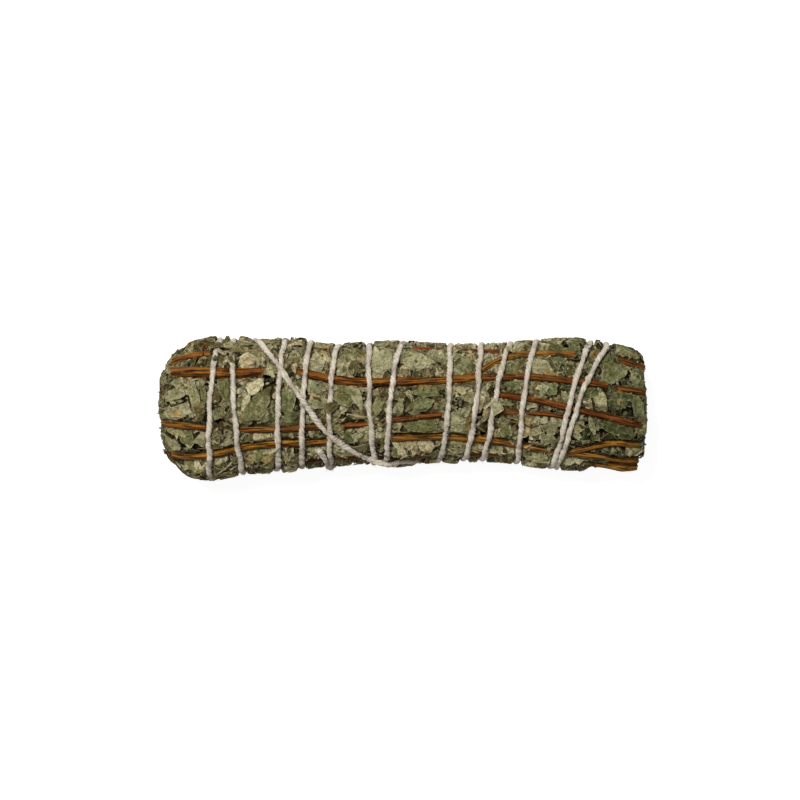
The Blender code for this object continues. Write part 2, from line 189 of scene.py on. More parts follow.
# Each stem: its course, its left and right ends, its radii there, how red its bark is at the left and right
# (0 ochre, 1 dark red), and the stretches where leaves lie over it.
STEMS = {
    "stem_upper_edge": (SEAMS[0], -21.0, 21.5, 0.6, 0.6, 0.9, 0.75, [(-16.2, 0.9), (9.2, 11.4)]),
    "stem_main": (SEAMS[1], -51.7, 54.0, 1.2, 0.65, 0.52, 0.62, [(-31, -22.5), (45.8, 48.6)]),
    "stem_middle_left": (
        SEAMS[2], -53.9, 8.5, 0.7, 0.65, 0.3, 0.8, [(-43, -36.6), (-16.8, -13.5), (-8, -2.4)],
    ),
    "stem_splinter": (SEAMS[2], 20.0, 36.0, 0.55, 0.5, 0.5, 0.7, [(25.4, 28.2)]),
    "stem_lower": (SEAMS[3], -51.7, 52.6, 0.9, 0.8, 0.2, 0.0, [(-16.6, -2.6), (25, 27.6), (31.6, 36)]),
    "stem_lower_edge": (SEAMS[4], -35.2, 52.4, 0.8, 0.8, 0.45, 0.1, [(-31.5, -22.5), (6.3, 14), (24, 40)]),
    "stem_back_lower": (SEAMS[5], -52.0, 52.8, 0.8, 0.8, 0.5, 0.4, [(-30, -22), (4, 12)]),
    "stem_back_upper": (SEAMS[8], -52.0, 53.5, 0.9, 0.8, 0.4, 0.6, [(-38, -27), (20, 31)]),
    "stem_fork": (
        [(14, 27), (16, 31), (19, 43), (22.9, 55.5), (25.5, 59), (29.8, 59.7), (38.5, 57.8)],
        15.2, 38.5, 0.8, 0.7, 0.1, 0.4, [],
    ),
    "stem_upper_left": (
        [(-51.7, 60), (-48, 62), (-42.7, 60), (-28, 57)], -51.7, -28, 0.85, 0.7, 0.35, 0.8, [(-42.5, -20)],
    ),
    "stem_middle_right": (
        [(15, 11), (21.6, 7.5), (28.2, 3.8), (36.1, -2.7), (46.6, -10.4), (53.2, -15.7)],
        15, 53.2, 0.75, 0.75, 0.65, 0.8, [(10, 20.8)],
    ),
    "stem_lower_right": (
        [(37, -54), (40.5, -47), (44, -40.5), (46.6, -37.3), (52.6, -38.2)],
        37, 52.6, 0.75, 0.7, 0.15, 0.25, [],
    ),
    "stem_upper_right": (
        [(45, 57), (48, 57), (50.6, 55.6), (55, 51)], 45, 53.8, 0.75, 0.7, 0.5, 0.6, [(45, 47.6)],
    ),
    "stem_under_back": (
        [(-51, 136), (-6, 131), (22, 135), (52.5, 133)], -51, 52.5, 1.0, 0.8, 0.4, 0.5, [(-9, 3)],
    ),
    "stem_under_front": (
        [(-53, 229), (-18, 233), (18, 229), (54, 231)], -53, 54, 0.95, 0.75, 0.5, 0.3, [(-40, -33), (28, 39)],
    ),
}
CORE_STEM_ENDS = ((-50.5, 54.0), (-51.5, 53.0), (-49.0, 54.6))
CORE_STEM_CLOCK = 20  # of the first one
CORE_STEM_RADIUS = 0.95
CORE_STEM_REDNESS = (0.3, 0.5)

# How far a stem stands out from its depth, as (x, distance).
STANDS_OUT = {"stem_lower_edge": ((40, 0.0), (43, 0.1), (49, 0.7), (55, 0.75))}
# A cut end, as shares of the radius: how far in the rim of bark and then the pith's edge lie, and how deep.
CUT_RIM, PITH_RIM, PITH_HOLLOW = 0.22, 0.35, -0.25
PITH_REACH = 0.85  # of the radius: where the bark's colour ends
RAGGED_CUT = 0.12  # how unevenly the shears cut
RIDGES = ((0.05, 4, 0), (0.045, 7, 0.12))  # their height as a share of the radius, how many, and their slant
FIRST_JOINT, JOINTS_APART = (4, 12), (13, 19)  # from the left end to a leaf pair's swelling, and between them
SWOLLEN, SWELLING = 0.14, 0.9  # how much thicker the stem is there, and over what length


def along(stations, x):
    """The values at each x on a smooth curve through stations, each of them an x and its values."""
    table = np.array(stations, float)
    places, values = table[:, 0], table[:, 1:]
    slopes = np.gradient(values, places, axis=0)
    x = np.clip(np.asarray(x, float), places[0], places[-1])
    i = np.clip(np.searchsorted(places, x, side="right") - 1, 0, len(places) - 2)
    span = (places[i + 1] - places[i])[..., None]
    t = (x - places[i])[..., None] / span
    from_left = (1 - t) ** 2 * ((1 + 2 * t) * values[i] + t * span * slopes[i])
    from_right = t * t * ((3 - 2 * t) * values[i + 1] - (1 - t) * span * slopes[i + 1])
    return np.moveaxis(from_left + from_right, -1, 0)


def section(x):
    """The stick's cross-section at each x: the y and z of its middle, its half width and its half height."""
    upper, lower = along(OUTLINE, x)
    half_width = (upper - lower) / 2
    half_height = HEIGHT_SHARE * half_width
    return (upper + lower) / 2, half_height - PRESSED_FLAT, half_width, half_height


def under_tips(x, clock, depth, lowest=0.0):
    """The points this deep under the leaf tips, but no lower than lowest."""
    y, z, half_width, half_height = section(x)
    z = z + (half_height - depth) * np.cos(clock * DEGREE)
    y = y + (half_width - depth) * np.sin(clock * DEGREE)
    return np.stack([x + 0 * y, y, np.maximum(z, lowest)], axis=-1)


def raised(x, clock, depth, lowest):
    """This depth, or the one at which the underside is this high over the table, if that is deeper."""
    _, middle, _, half_height = section(x)
    down = np.maximum(-np.cos(clock * DEGREE), 0.1)
    return np.where(down > 0.1, np.maximum(depth, half_height - (middle - lowest) / down), depth)


def stem_depth(x, clock, radius):
    """How deep a stem's centre line lies: deeper on the underside, to clear the string under it."""
    return raised(x, clock, STEM_DEPTH + radius, LOWEST_BARK + radius)


def eased(share):
    """A share, kept from 0 to 1, with a smooth start and end."""
    share = np.clip(share, 0, 1)
    return share * share * (3 - 2 * share)


def apart(clock, there):
    """How far each clock angle is from another, from -180 to 180."""
    return (clock - there + 180) % 360 - 180


def ripple(points, wavelength, seed, waves=7):
    """Smooth unevenness from about -1 to 1 at each point: a few sine waves that run in random directions."""
    draw = np.random.default_rng(seed)
    runs = draw.normal(size=(waves, points.shape[-1]))
    lengths = np.linalg.norm(runs, axis=1, keepdims=True)
    runs *= 2 * math.pi / (wavelength * lengths * draw.uniform(0.7, 1.5, (waves, 1)))
    return np.sin(points @ runs.T + draw.uniform(0, 2 * math.pi, waves)).sum(-1) / math.sqrt(waves)


def vertices_of(made):
    """An object's vertices as rows of x, y and z."""
    points = np.empty(len(made.data.vertices) * 3)
    made.data.vertices.foreach_get("co", points)
    return points.reshape(-1, 3)


def paint(mesh, name, values):
    """Stores up to three numbers for each vertex, from 0 to 1, for a material to read."""
    values = np.column_stack([np.clip(values, 0, 1), np.ones(len(values))])
    layer = mesh.attributes.new(name, "FLOAT_COLOR", "POINT")
    layer.data.foreach_set("color", values.astype(np.float32).ravel())


def select(made, kind, wanted):
    """Selects, in edit mode, only the verts, edges or faces for which wanted(part) holds."""
    bpy.ops.mesh.select_mode(type=kind)
    bpy.ops.mesh.select_all(action="DESELECT")
    shape = bmesh.from_edit_mesh(made.data)
    for part in getattr(shape, kind.lower() + "s"):
        part.select_set(bool(wanted(part)))
    bmesh.update_edit_mesh(made.data)


def twig(name, middles, radii, redness, seed):
    """A stem: a cylinder with a ring of bark at each of the middles, its cut ends hollowed in the pith."""
    left, right = middles[0, 0], middles[-1, 0]
    lying = {"location": ((right + left) / 2, 0, 0), "rotation": (0, math.pi / 2, 0)}
    bpy.ops.mesh.primitive_cylinder_add(vertices=STEM_SIDES, radius=1, depth=right - left, **lying)
    made = bpy.context.object
    made.name = name
    bpy.ops.object.transform_apply(location=True, rotation=True, scale=True)
    bpy.ops.object.mode_set(mode="EDIT")
    select(made, "EDGE", lambda edge: abs(edge.verts[0].co.x - edge.verts[1].co.x) > (right - left) / 2)
    bpy.ops.mesh.subdivide(number_cuts=len(middles) - 2)
    select(made, "FACE", lambda face: abs(face.normal.x) > 0.9)
    bpy.ops.mesh.inset(thickness=CUT_RIM)
    bpy.ops.mesh.inset(thickness=PITH_RIM, depth=PITH_HOLLOW)
    bpy.ops.object.mode_set(mode="OBJECT")

    points = vertices_of(made)
    x, across = points[:, 0], np.hypot(points[:, 1], points[:, 2])
    turn = np.arctan2(points[:, 1], points[:, 2])
    draw = np.random.default_rng(seed)
    y, z, radius, red = along(np.column_stack([middles, radii, redness]), x)
    (broad, few, _), (fine, many, slant) = RIDGES
    ridges = broad * np.cos(few * turn + draw.uniform(0, 6))
    ridges = ridges + fine * np.sin(many * turn + slant * x + draw.uniform(0, 6))
    unrolled = np.column_stack([x / 6, np.sin(turn), np.cos(turn)])
    uneven = 0.05 * ripple(unrolled, 1.6, seed) + 0.025 * ripple(unrolled, 0.5, seed + 1)
    joints = np.arange(left + draw.uniform(*FIRST_JOINT), right, draw.uniform(*JOINTS_APART))
    swollen = sum(SWOLLEN * np.exp(-(((x - joint) / SWELLING) ** 2)) for joint in joints)
    radius = radius * (1 + ridges + uneven + swollen) * across
    from_end = np.minimum(x - left, right - x)
    ragged = (from_end < 1e-3) * RAGGED_CUT * ripple(unrolled, 1.2, seed + 2)
    points = np.column_stack([x + ragged, y + radius * np.sin(turn), z + radius * np.cos(turn)])
    made.data.vertices.foreach_set("co", (points * MM).ravel())
    pith = (across < PITH_REACH) & (from_end < 1)
    # The third number is painted shade: the bark is darker on the stem's lower side, towards -Y, away from
    # the lamp.
    paint(made.data, "bark", np.column_stack([red, pith, eased(-0.1 - 1.2 * np.sin(turn) + uneven)]))
    way = 0.5 + x / 240 + draw.uniform(-0.25, 0.25)
    paint(made.data, "grain", np.column_stack([way, 0.5 + 0.5 * np.sin(turn), 0.5 + 0.5 * np.cos(turn)]))
    made.data.shade_smooth()
    made.data.set_sharp_from_angle(angle=math.radians(50))
    return made


# Sage stem bark, dried: woody fibres that run lengthwise, dull with a faint sheen, which gives the eye
# streaks of ochre and dark brown and a broken highlight.
BARK_STREAKS = 5  # across a stem; each is some fifteen times as long as it is wide
SCUFFS_A_MM = 0.5
bark = bpy.data.materials.new("sage stem bark, dried")
tree = empty_tree(bark)
red, pith, under = add("SeparateColor", {0: add("Attribute", {}, attribute_name="bark")}, None)
followed = add("Attribute", {}, "Vector", attribute_name="grain")
drawn_out = add("Mapping", {0: followed, 3: (10, 1, 1)})
streaks = add("TexNoise", {0: drawn_out, "Scale": BARK_STREAKS, "Detail": 5, "Roughness": 0.6})
broad = add("TexNoise", {0: drawn_out, "Scale": 0.35 * BARK_STREAKS, "Detail": 2})
spots = add("TexNoise", {0: add("TexCoord", {}, "Object"), "Scale": SCUFFS_A_MM / MM, "Detail": 3})
share = add("MapRange", {0: streaks, 1: 0.42, 2: 0.59})
ochre = add("Mix", {0: share, 6: colour("#241002"), 7: colour("#A8742A")}, 2, data_type="RGBA")
rust = add("Mix", {0: share, 6: colour("#240C02"), 7: colour("#7C4218")}, 2, data_type="RGBA")
reddened = add("MapRange", {0: add("Math", {0: red, 1: broad}, operation="ADD"), 1: 0.65, 2: 1.25})
tone = add("Mix", {0: reddened, 6: ochre, 7: rust}, 2, data_type="RGBA")
scuffs = add("MapRange", {0: spots, 1: 0.62, 2: 0.74, 4: 0.4})
# Painted shade: the bark's lower side, away from the lamp, is mixed towards dark brown.
lower_side_shade = add("Math", {0: under, 1: 0.6}, operation="MULTIPLY")
for share, over in ((scuffs, "#AC8A50"), (lower_side_shade, "#2C1202"), (pith, "#C8A468")):
    tone = add("Mix", {0: share, 6: tone, 7: colour(over)}, 2, data_type="RGBA")
grooved = add("Bump", {"Height": streaks, "Strength": 0.8, "Distance": 0.16 * MM})
surface = {"Base Color": tone, "Roughness": 0.55, "Specular IOR Level": 0.08, "Normal": grooved}
add("OutputMaterial", {"Surface": add("BsdfPrincipled", surface)}, None)


def lay_stem(name, clock_at, depth_at, left, right, radii, redness, seed):
    """Lays a stem in the stick, along the clock angle and depth that its functions give at each x."""
    x = np.linspace(left, right, round((right - left) / STEM_STEP))
    share = (x - left) / (right - left)
    radius = radii[0] + share * (radii[1] - radii[0])
    clock = clock_at(x)
    depth = depth_at(x, clock, radius)
    if name in STANDS_OUT:
        depth = depth - along(STANDS_OUT[name], x)[0]
    middles = under_tips(x, clock, depth)
    red = redness[0] + share * (redness[1] - redness[0])
    made = twig(name.replace("stem", "twig"), middles, radius, red, seed)
    made.data.materials.append(bark)
    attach(made, "root")
    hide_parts(name)


for seed, (name, (course, left, right, r_left, r_right, red_left, red_right, _)) in enumerate(STEMS.items()):
    lay_stem(
        name, lambda x, course=course: along(course, x)[0], stem_depth, left, right,
        (r_left, r_right), (red_left, red_right), 10 * seed,
    )
for number, (left, right) in enumerate(CORE_STEM_ENDS):
    clock = CORE_STEM_CLOCK + number * 360 / len(CORE_STEM_ENDS)
    lay_stem(
        f"stem_core_{number + 1}", lambda x, clock=clock: clock + 0 * x,
        lambda x, clock, radius: section(x)[3] - CORE_STEM_PLACE, left, right,
        (CORE_STEM_RADIUS, CORE_STEM_RADIUS), CORE_STEM_REDNESS, 300 + number,
    )

# ------------------------------------------------------------------------------------------------------------
# String: one length of unbleached cotton, three plies twisted together, 1.25 mm thick. It is wound from the
# back near the right end in thirteen turns to the left, then drawn slantwise over the front to a short tail.
STRING_RADIUS = 0.625
STRING_DEPTH = 0.0  # of its centre line: half sunk between the leaf tips
EDGE_SINK = 0.4  # how much deeper it is pulled in where it goes over the stick's upper and lower edges
STRING_ANGLE = 27  # clock degrees between the points of its route where it goes round
STRING_LIFT = 0.85  # where it rides over an earlier turn
LIFT_REACH = (0.7, 2.4)  # lifted whole within the first distance, and not at all past the second
SHARED_POINTS = 3  # at the start of the last pass, which the last turn already has
NEWEST_POINTS = 4  # of the turns, which the last pass runs on from and so isn't lifted over
SLANT_DEPTH = -0.4  # the slanting run lies on the leaves, not in them
SLANT_SPACING = 3.5
RISES_FROM, RISES_OVER = -250, 30  # the clock angle where the last pass starts to rise onto the leaves
SINKS_FROM, SINKS_OVER, SUNK_DEPTH = -425, 15, 0.2  # and where it sinks between them again at the lower edge
LOWEST_STRING = STRING_RADIUS + 0.18
FRONT_EDGE = 75  # the clock angle at which a turn leaves the front

# Where each turn crosses the front: x at its top, its middle and its bottom, from the first turn wound.
TURNS = (
    (45.5, 38.8, 34.5), (41.7, 36.9, 33.3), (29.6, 26.7, 25.6), (23.7, 20.4, 18.0), (17.4, 16.3, 13.9),
    (10.5, 10.1, 8.3), (-0.4, -2.9, -3.8), (-7.6, -7.5, -6.4), (-14.8, -16.3, -16.3), (-20.8, -22.3, -22.6),
    (-26.5, -27.8, -27.9), (-38.0, -37.5, -35.9), (-41.1, -42.9, -43.1),
)
START = (42.6, 150)
LAST_PASS = ((-41.6, -98), (-37.2, -122), (-35.4, -180), (-33.8, -240))
SLANT = (
    (-32.3, 76), (-29.9, 50), (-27.5, 33), (-25, 17), (-22.1, 2), (-19.5, -13), (-16.7, -27), (-13.5, -40),
    (-10.6, -52), (-7.2, -64), (-3.8, -72), (1.5, -84), (6, -102), (8.6, -112), (7, -120), (2, -124),
    (-5, -124), (-12, -116), (-16.2, -88), (-17.1, -68), (-18.6, -45),
)
YARN_STEP = 0.34  # between the yarn's rings
YARN_LAY = 2.3  # along the string, for one twist of its plies
YARN_WANDERS = ((0.11, 7, 504), (0.05, 2.2, 507))  # how far it strays, over what length, and a seed
YARN_SLUBS = ((0.10, 8, 501), (0.085, 1.9, 502))  # thick and thin places: how strong, how long, and a seed
TWIST_UNEVEN = 0.34  # of a turn
ACROSS_PLY = np.array([-0.5, -0.29, 0, 0.29, 0.5])
PLY_SIDES, PLY_BACK = 0.66, 0.36  # of the string's radius, to where plies meet and on to their backs
FUZZ = 3900  # loose fibres
FUZZ_RADIUS = 0.021
FUZZ_TAPER = (1.0, 0.8, 0.35)  # from root to tip
FUZZ_LENGTHS = (0.35, 1.2)
FUZZ_ROOT = 0.85  # of the string's radius
FUZZ_ROUND = 1.9  # radians to each side of the string's outer line
FUZZ_ALONG, FUZZ_OUT, FUZZ_BENT = 0.8, (0.15, 0.8), 0.7  # how far they lean along it and out, and bend
CLEAR_ENDS = 20  # steps at each end of the yarn that have no fibres


def nearest(points, strand):
    """Each point's distance to a strand of points joined by straight lines."""
    best = np.full(len(points), np.inf)
    for a, b in zip(strand, strand[1:]):
        share = np.clip((points - a) @ (b - a) / ((b - a) @ (b - a)), 0, 1)
        best = np.minimum(best, np.linalg.norm(points - a - share[:, None] * (b - a), axis=1))
    return best


def spaced(points, spacing, weights=1.0):
    """Points about this far apart on a smooth curve through the given ones, with axes scaled by weights."""
    steps = np.linalg.norm(np.diff(points, axis=0) * weights, axis=1)
    places = np.concatenate([[0], np.cumsum(steps)])
    even = np.linspace(0, places[-1], round(places[-1] / spacing) + 1)
    return along(np.column_stack([places, points]), even).T


def at_edge(clock):
    """1 at the stick's upper and lower edges as the camera sees it, and 0 on its front and back."""
    return eased((np.abs(np.sin(clock * DEGREE)) - 0.7) / 0.3)


def string_depth(clock):
    """How deep a turn's centre line lies at each clock angle."""
    return STRING_DEPTH + EDGE_SINK * at_edge(clock)


turns = [(START[1], START[0])]
for turn, crossings in enumerate(TURNS):
    turns += [(clock - 360 * turn, x) for x, clock in zip(crossings, (FRONT_EDGE, 0, -FRONT_EDGE))]
turns = turns[::-1]
first_clock, last_clock = turns[-1][0], turns[0][0]
clocks = np.linspace(first_clock, last_clock, round((first_clock - last_clock) / STRING_ANGLE) + 1)
wound = under_tips(along(turns, clocks)[0], clocks, string_depth(clocks), LOWEST_STRING)
last_turn = 360 * (len(TURNS) - 1)
joining = [(along(turns, last_clock + back)[0], last_clock + back + last_turn) for back in (STRING_ANGLE, 0)]
last_run = np.array([*joining, *LAST_PASS, *[(x, clock - 360) for x, clock in SLANT]])
last_run = spaced(last_run, SLANT_SPACING, (1, 0.25))[SHARED_POINTS:]
depth = string_depth(last_run[:, 1])
depth += eased((RISES_FROM - last_run[:, 1]) / RISES_OVER) * (SLANT_DEPTH - STRING_DEPTH)
depth += eased((SINKS_FROM - last_run[:, 1]) / SINKS_OVER) * (SUNK_DEPTH - SLANT_DEPTH)
on_tips = under_tips(last_run[:, 0], last_run[:, 1], STRING_DEPTH, LOWEST_STRING)
whole, none = LIFT_REACH
lift = STRING_LIFT * eased((none - nearest(on_tips, wound[:-NEWEST_POINTS])) / (none - whole))
depth = np.minimum(depth, string_depth(last_run[:, 1]) - lift)
last_points = under_tips(last_run[:, 0], last_run[:, 1], depth, LOWEST_STRING)
route = spaced(np.concatenate([wound, last_points]), YARN_STEP)
way = YARN_STEP * np.arange(len(route))[:, None]
for stray, length, seed in YARN_WANDERS:
    route += stray * np.column_stack([ripple(way, length, seed + axis) for axis in range(3)])
route[:, 2] = np.maximum(route[:, 2], LOWEST_STRING)


def unit(vectors):
    """Vectors in rows, scaled to a length of 1."""
    return vectors / np.linalg.norm(vectors, axis=1, keepdims=True)


def from_middle(points):
    """The way to each point from the stick's middle line, straight out."""
    return points - np.column_stack([points[:, 0], *section(points[:, 0])[:2]])


def joined_mesh(name, points, quads, triangles=()):
    """An object from arrays of points in mm and of faces."""
    mesh = bpy.data.meshes.new(name)
    triangles = np.asarray(triangles, int).reshape(-1, 3)
    mesh.vertices.add(len(points))
    mesh.vertices.foreach_set("co", (points * MM).astype(np.float32).ravel())
    mesh.loops.add(4 * len(quads) + 3 * len(triangles))
    corners = np.concatenate([quads.ravel(), triangles.ravel()])
    mesh.loops.foreach_set("vertex_index", corners.astype(np.int32))
    mesh.polygons.add(len(quads) + len(triangles))
    starts = np.concatenate([4 * np.arange(len(quads)), 4 * len(quads) + 3 * np.arange(len(triangles))])
    mesh.polygons.foreach_set("loop_start", starts.astype(np.int32))
    mesh.update(calc_edges=True)
    made = bpy.data.objects.new(name, mesh)
    bpy.context.scene.collection.objects.link(made)
    return made


# The yarn is a tube with a ring of points round each point of the route: three plies side by side, which turn
# along the string and have thick and thin places.
sides, count = 3 * len(ACROSS_PLY), len(route)
across = np.tile(ACROSS_PLY, 3)
angle = 2 * math.pi * (np.repeat(np.arange(3), len(ACROSS_PLY)) + 0.5 + 0.95 * across) / 3
radius = STRING_RADIUS * (PLY_SIDES + PLY_BACK * np.sqrt(np.clip(1 - (2 * across) ** 2 * 0.96, 0, 1)))
slub = sum((strength * ripple(way, length, seed) for strength, length, seed in YARN_SLUBS), 1)
angle = angle - 2 * math.pi * (way[:, 0] / YARN_LAY + TWIST_UNEVEN * ripple(way, 8, 503))[:, None]
radius = radius * slub[:, None]
ahead = unit(np.gradient(route, axis=0))
out = from_middle(route)
out = unit(out - (out * ahead).sum(1, keepdims=True) * ahead)
aside = np.cross(ahead, out)
rings = route[:, None] + (radius * np.cos(angle))[..., None] * out[:, None]
rings = rings + (radius * np.sin(angle))[..., None] * aside[:, None]
yarn_points = np.concatenate([rings.reshape(-1, 3), route[[0, -1]]])
here = np.arange(sides)
beside = (here + 1) % sides
rows = sides * np.arange(count - 1)[:, None]
yarn_quads = np.stack([rows + here, rows + here + sides, rows + beside + sides, rows + beside], axis=-1)
last = sides * (count - 1)
first_tip, last_tip = np.full(sides, sides * count), np.full(sides, sides * count + 1)
yarn_ends = np.stack([[here, beside, first_tip], [last + beside, last + here, last_tip]]).transpose(0, 2, 1)

# The loose fibres are bent threads of three points, with a triangle round each.
draw = np.random.default_rng(77)
at = draw.integers(CLEAR_ENDS, len(route) - CLEAR_ENDS, FUZZ)
out = unit(from_middle(route[at]))
ahead = unit(route[at + 1] - route[at - 1])
turn = draw.uniform(-FUZZ_ROUND, FUZZ_ROUND, (FUZZ, 1))
off = np.cos(turn) * out + np.sin(turn) * np.cross(ahead, out)
root = route[at] + off * STRING_RADIUS * FUZZ_ROOT
lean = ahead * draw.normal(0, FUZZ_ALONG, (FUZZ, 1)) + off * draw.uniform(*FUZZ_OUT, (FUZZ, 1))
length = draw.uniform(*FUZZ_LENGTHS, (FUZZ, 1))
bend = np.cross(lean, off) * draw.normal(0, FUZZ_BENT, (FUZZ, 1))
fibre = np.stack([root, root + lean * length * 0.5 + bend * length * 0.15, root + lean * length], axis=1)
fibre[..., 2] = np.maximum(fibre[..., 2], 0.05)
corners = 2 * math.pi * np.arange(3)[:, None] / 3
ring = np.cos(corners) * np.array([1, 0, 0]) + np.sin(corners) * np.array([0, 0.7, 0.7])
ring = FUZZ_RADIUS * np.array(FUZZ_TAPER)[:, None, None] * ring
fuzz_points = (fibre[:, :, None] + ring[None]).reshape(-1, 3)
here = np.arange(3)
beside = (here + 1) % 3
fuzz_quads = np.concatenate([3 * i + np.stack([here, beside, beside + 3, here + 3], 1) for i in (0, 1)])
fuzz_caps = np.array([[2, 1, 0], [6, 7, 8]])
shift = (9 * np.arange(FUZZ))[:, None, None] + len(yarn_points)
string = joined_mesh(
    "cotton_yarn",
    np.concatenate([yarn_points, fuzz_points]),
    np.concatenate([yarn_quads.reshape(-1, 4), (fuzz_quads[None] + shift).reshape(-1, 4)]),
    np.concatenate([yarn_ends.reshape(-1, 3), (fuzz_caps[None] + shift).reshape(-1, 3)]),
)
# Painted shade: how far each point lies in a groove between the plies, where the material darkens it.
groove_shade = np.tile(np.abs(ACROSS_PLY) * 2, 3 * count) ** 2
groove_shade = np.concatenate([groove_shade, np.zeros(len(yarn_points) - len(groove_shade) + len(fuzz_points))])
paint(string.data, "ply", np.column_stack([groove_shade] * 3))
string.data.shade_smooth()

# Cotton string, three-ply and unbleached: soft matt fibres that scatter light, cream with faint grey-beige
# dirt and painted shade in the grooves between its plies.
HAIRS_A_MM = 9  # coarser than cotton's own hairs, so that they show
DIRT_A_MM = 0.5
cotton = bpy.data.materials.new("cotton string, three-ply, unbleached")
tree = empty_tree(cotton)
place = add("TexCoord", {}, "Object")
dirt = add("TexNoise", {0: place, "Scale": DIRT_A_MM / MM, "Detail": 5, "Roughness": 0.7})
hairs = add("TexNoise", {0: place, "Scale": HAIRS_A_MM / MM, "Detail": 2})
soiled = add("MapRange", {0: dirt, 1: 0.38, 2: 0.62})
tone = add("Mix", {0: soiled, 6: colour("#DDD4C2"), 7: colour("#B5A68F")}, 2, data_type="RGBA")
# Painted shade: the grooves between the plies are darkened towards grey-brown.
between = add("Math", {0: add("Attribute", {}, "Fac", attribute_name="ply"), 1: 0.4}, operation="MULTIPLY")
tone = add("Mix", {0: between, 6: tone, 7: colour("#8A7E6B")}, 2, data_type="RGBA")
downy = add("Bump", {"Height": hairs, "Strength": 0.5, "Distance": 0.08 * MM})
surface = {"Base Color": tone, "Roughness": 0.95, "Normal": downy}
surface |= {"Sheen Weight": 0.25, "Sheen Roughness": 0.6}
add("OutputMaterial", {"Surface": add("BsdfPrincipled", surface)}, None)
string.data.materials.append(cotton)
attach(string, "root")
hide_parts("binding_string")

# ------------------------------------------------------------------------------------------------------------
# Leaves: nine bunches of dried sage leaves, crumpled, split and crumbled where they were pressed together.
# Each is one mesh, a bed of packed leaf, painted dark as shade, with whole leaves, torn pieces, crumbs and
# bits of stalk over it. It lies under the string and round the stems, and stands for the bunch's solid.

GROOVE_DEPTH = 1.0  # of the leaves under a turn of the string
EDGE_SHALLOWER = 0.65  # the share of it that is missing at the stick's upper and lower edges
SWELL_SLOPE = 0.35  # how fast they swell up again beside it
LUMPS = 0.30  # of the bunches, between the turns
END_ROOM = 0.6  # inside a bunch's ends, for leaves that stand out there
LEFT_ROUNDING = (6.0, 4.6)  # how long the folded-over left ends are rounded, and how deep
RIGHT_ROUNDING = (2.5, 1.5)  # the same for the cut right ends
ROUNDED_SHARE = 0.98  # of a full round, which would end too steep for leaves to lie on
LOWEST_LEAF = 0.06  # over the table
FLATTENED_UNDER = 0.5  # the height over the table below which leaves are pressed flatter and flatter
LOWEST_SKIN = 0.7  # over the table

# Each bunch's left and right ends.
BUNCH_ENDS = (
    (-53.9, 54.3), (-55.0, 54.8), (-54.5, 54.4), (-52.8, 46.5), (-52.4, 42.4), (-53.4, 50.5), (-54.0, 53.6),
    (-53.6, 54.2), (-52.4, 53.8),
)
LEAF_THICKNESS = 0.2
DEPTH_SHADE_RATE = 1.8  # painted shade: how fast leaves darken with each millimetre under the skin
STANDING_SHADE = 0.15  # painted shade on the leaves that stand in the ends
MM_A_DEGREE = 0.25  # round the stick
OVER_ENDS = (4.6, 4.2)  # how far the filling runs on over the left and right ends
ROUND_BACK = -90  # the clock angle at which the string's last run goes behind
OVER_STRING, DRAPED = 0.15, 0.22  # the height of leaves that lie over a turn, and how they droop beside it
CLEAR_OF_STRING = 0.5  # from its centre line, where the leaves beside it start to rise
STRING_SLOPE, EDGE_SLOPE = 0.9, 1.6  # of their rise beside a turn, and how much more it is at the edges
SLANT_SLOPE = 1.5  # of their rise beside the last run
STEM_SLOPE, LEAST_SLOPE = 1.8, 0.45  # of the leaves beside a stem
STEM_IN_SIGHT = 0.85  # keeps the leaves over a stem on the flank low enough for it to be seen from above
STEM_REACH = 3.2  # how far from its bark it keeps them low
OVER_BARK, OVER_BARK_UNEVEN = -0.2, 0.3  # how far leaf edges come over it
HIGHEST_LEAF = 1.2  # over the skin, where nothing holds the leaves down
EDGE_HEIGHT, EDGE_FLATTENED = 0.2, 0.2  # above that height leaves lie flatter at the stick's edges and ends
END_STRETCH = 4.0  # of a bunch, along which its leaves lie flatter towards its end
PAST_ENDS = 0.2  # the share of its length past an end that a leaf keeps
SQUEEZED_IN = 0.45  # the height into which leaves are squeezed under the string and beside the stems
STANDING = {"whole": 6, "torn": 20, "slender": 14}  # the leaves that stand in each end of a bunch
STANDING_REACH, STANDING_PAST = 0.93, 0.06  # of the way to the leaf tips, and the share they keep past it
STANDING_LENGTHS, STANDING_WIDTHS = (3.5, 8), (1.6, 4.2)
STANDING_INSIDE = (0.2, 2.6)  # from the bunch's end to their tips
STANDING_OUT = 0.75  # the share of the end's face, from its middle, that their middles are in
STANDING_TURNED, STANDING_SLANT = 0.5, 0.14  # how far they turn from facing out, and lean from lengthwise
STANDING_TILT, STANDING_CURLS, STANDING_CRUMPLE = 0.1, (0.3, 0.12, 0.03), (0.05, 0.2)
STANDING_PALE, STANDING_DRY = (0.45, 0.18), (0.1, 0.15)  # the mean and spread of their tones
HOLES = ((17.5, -4.8, 2.6, 1.8), (36.0, 0.6, 1.6, 1.0))  # between the leaves: x, y, half length, half width

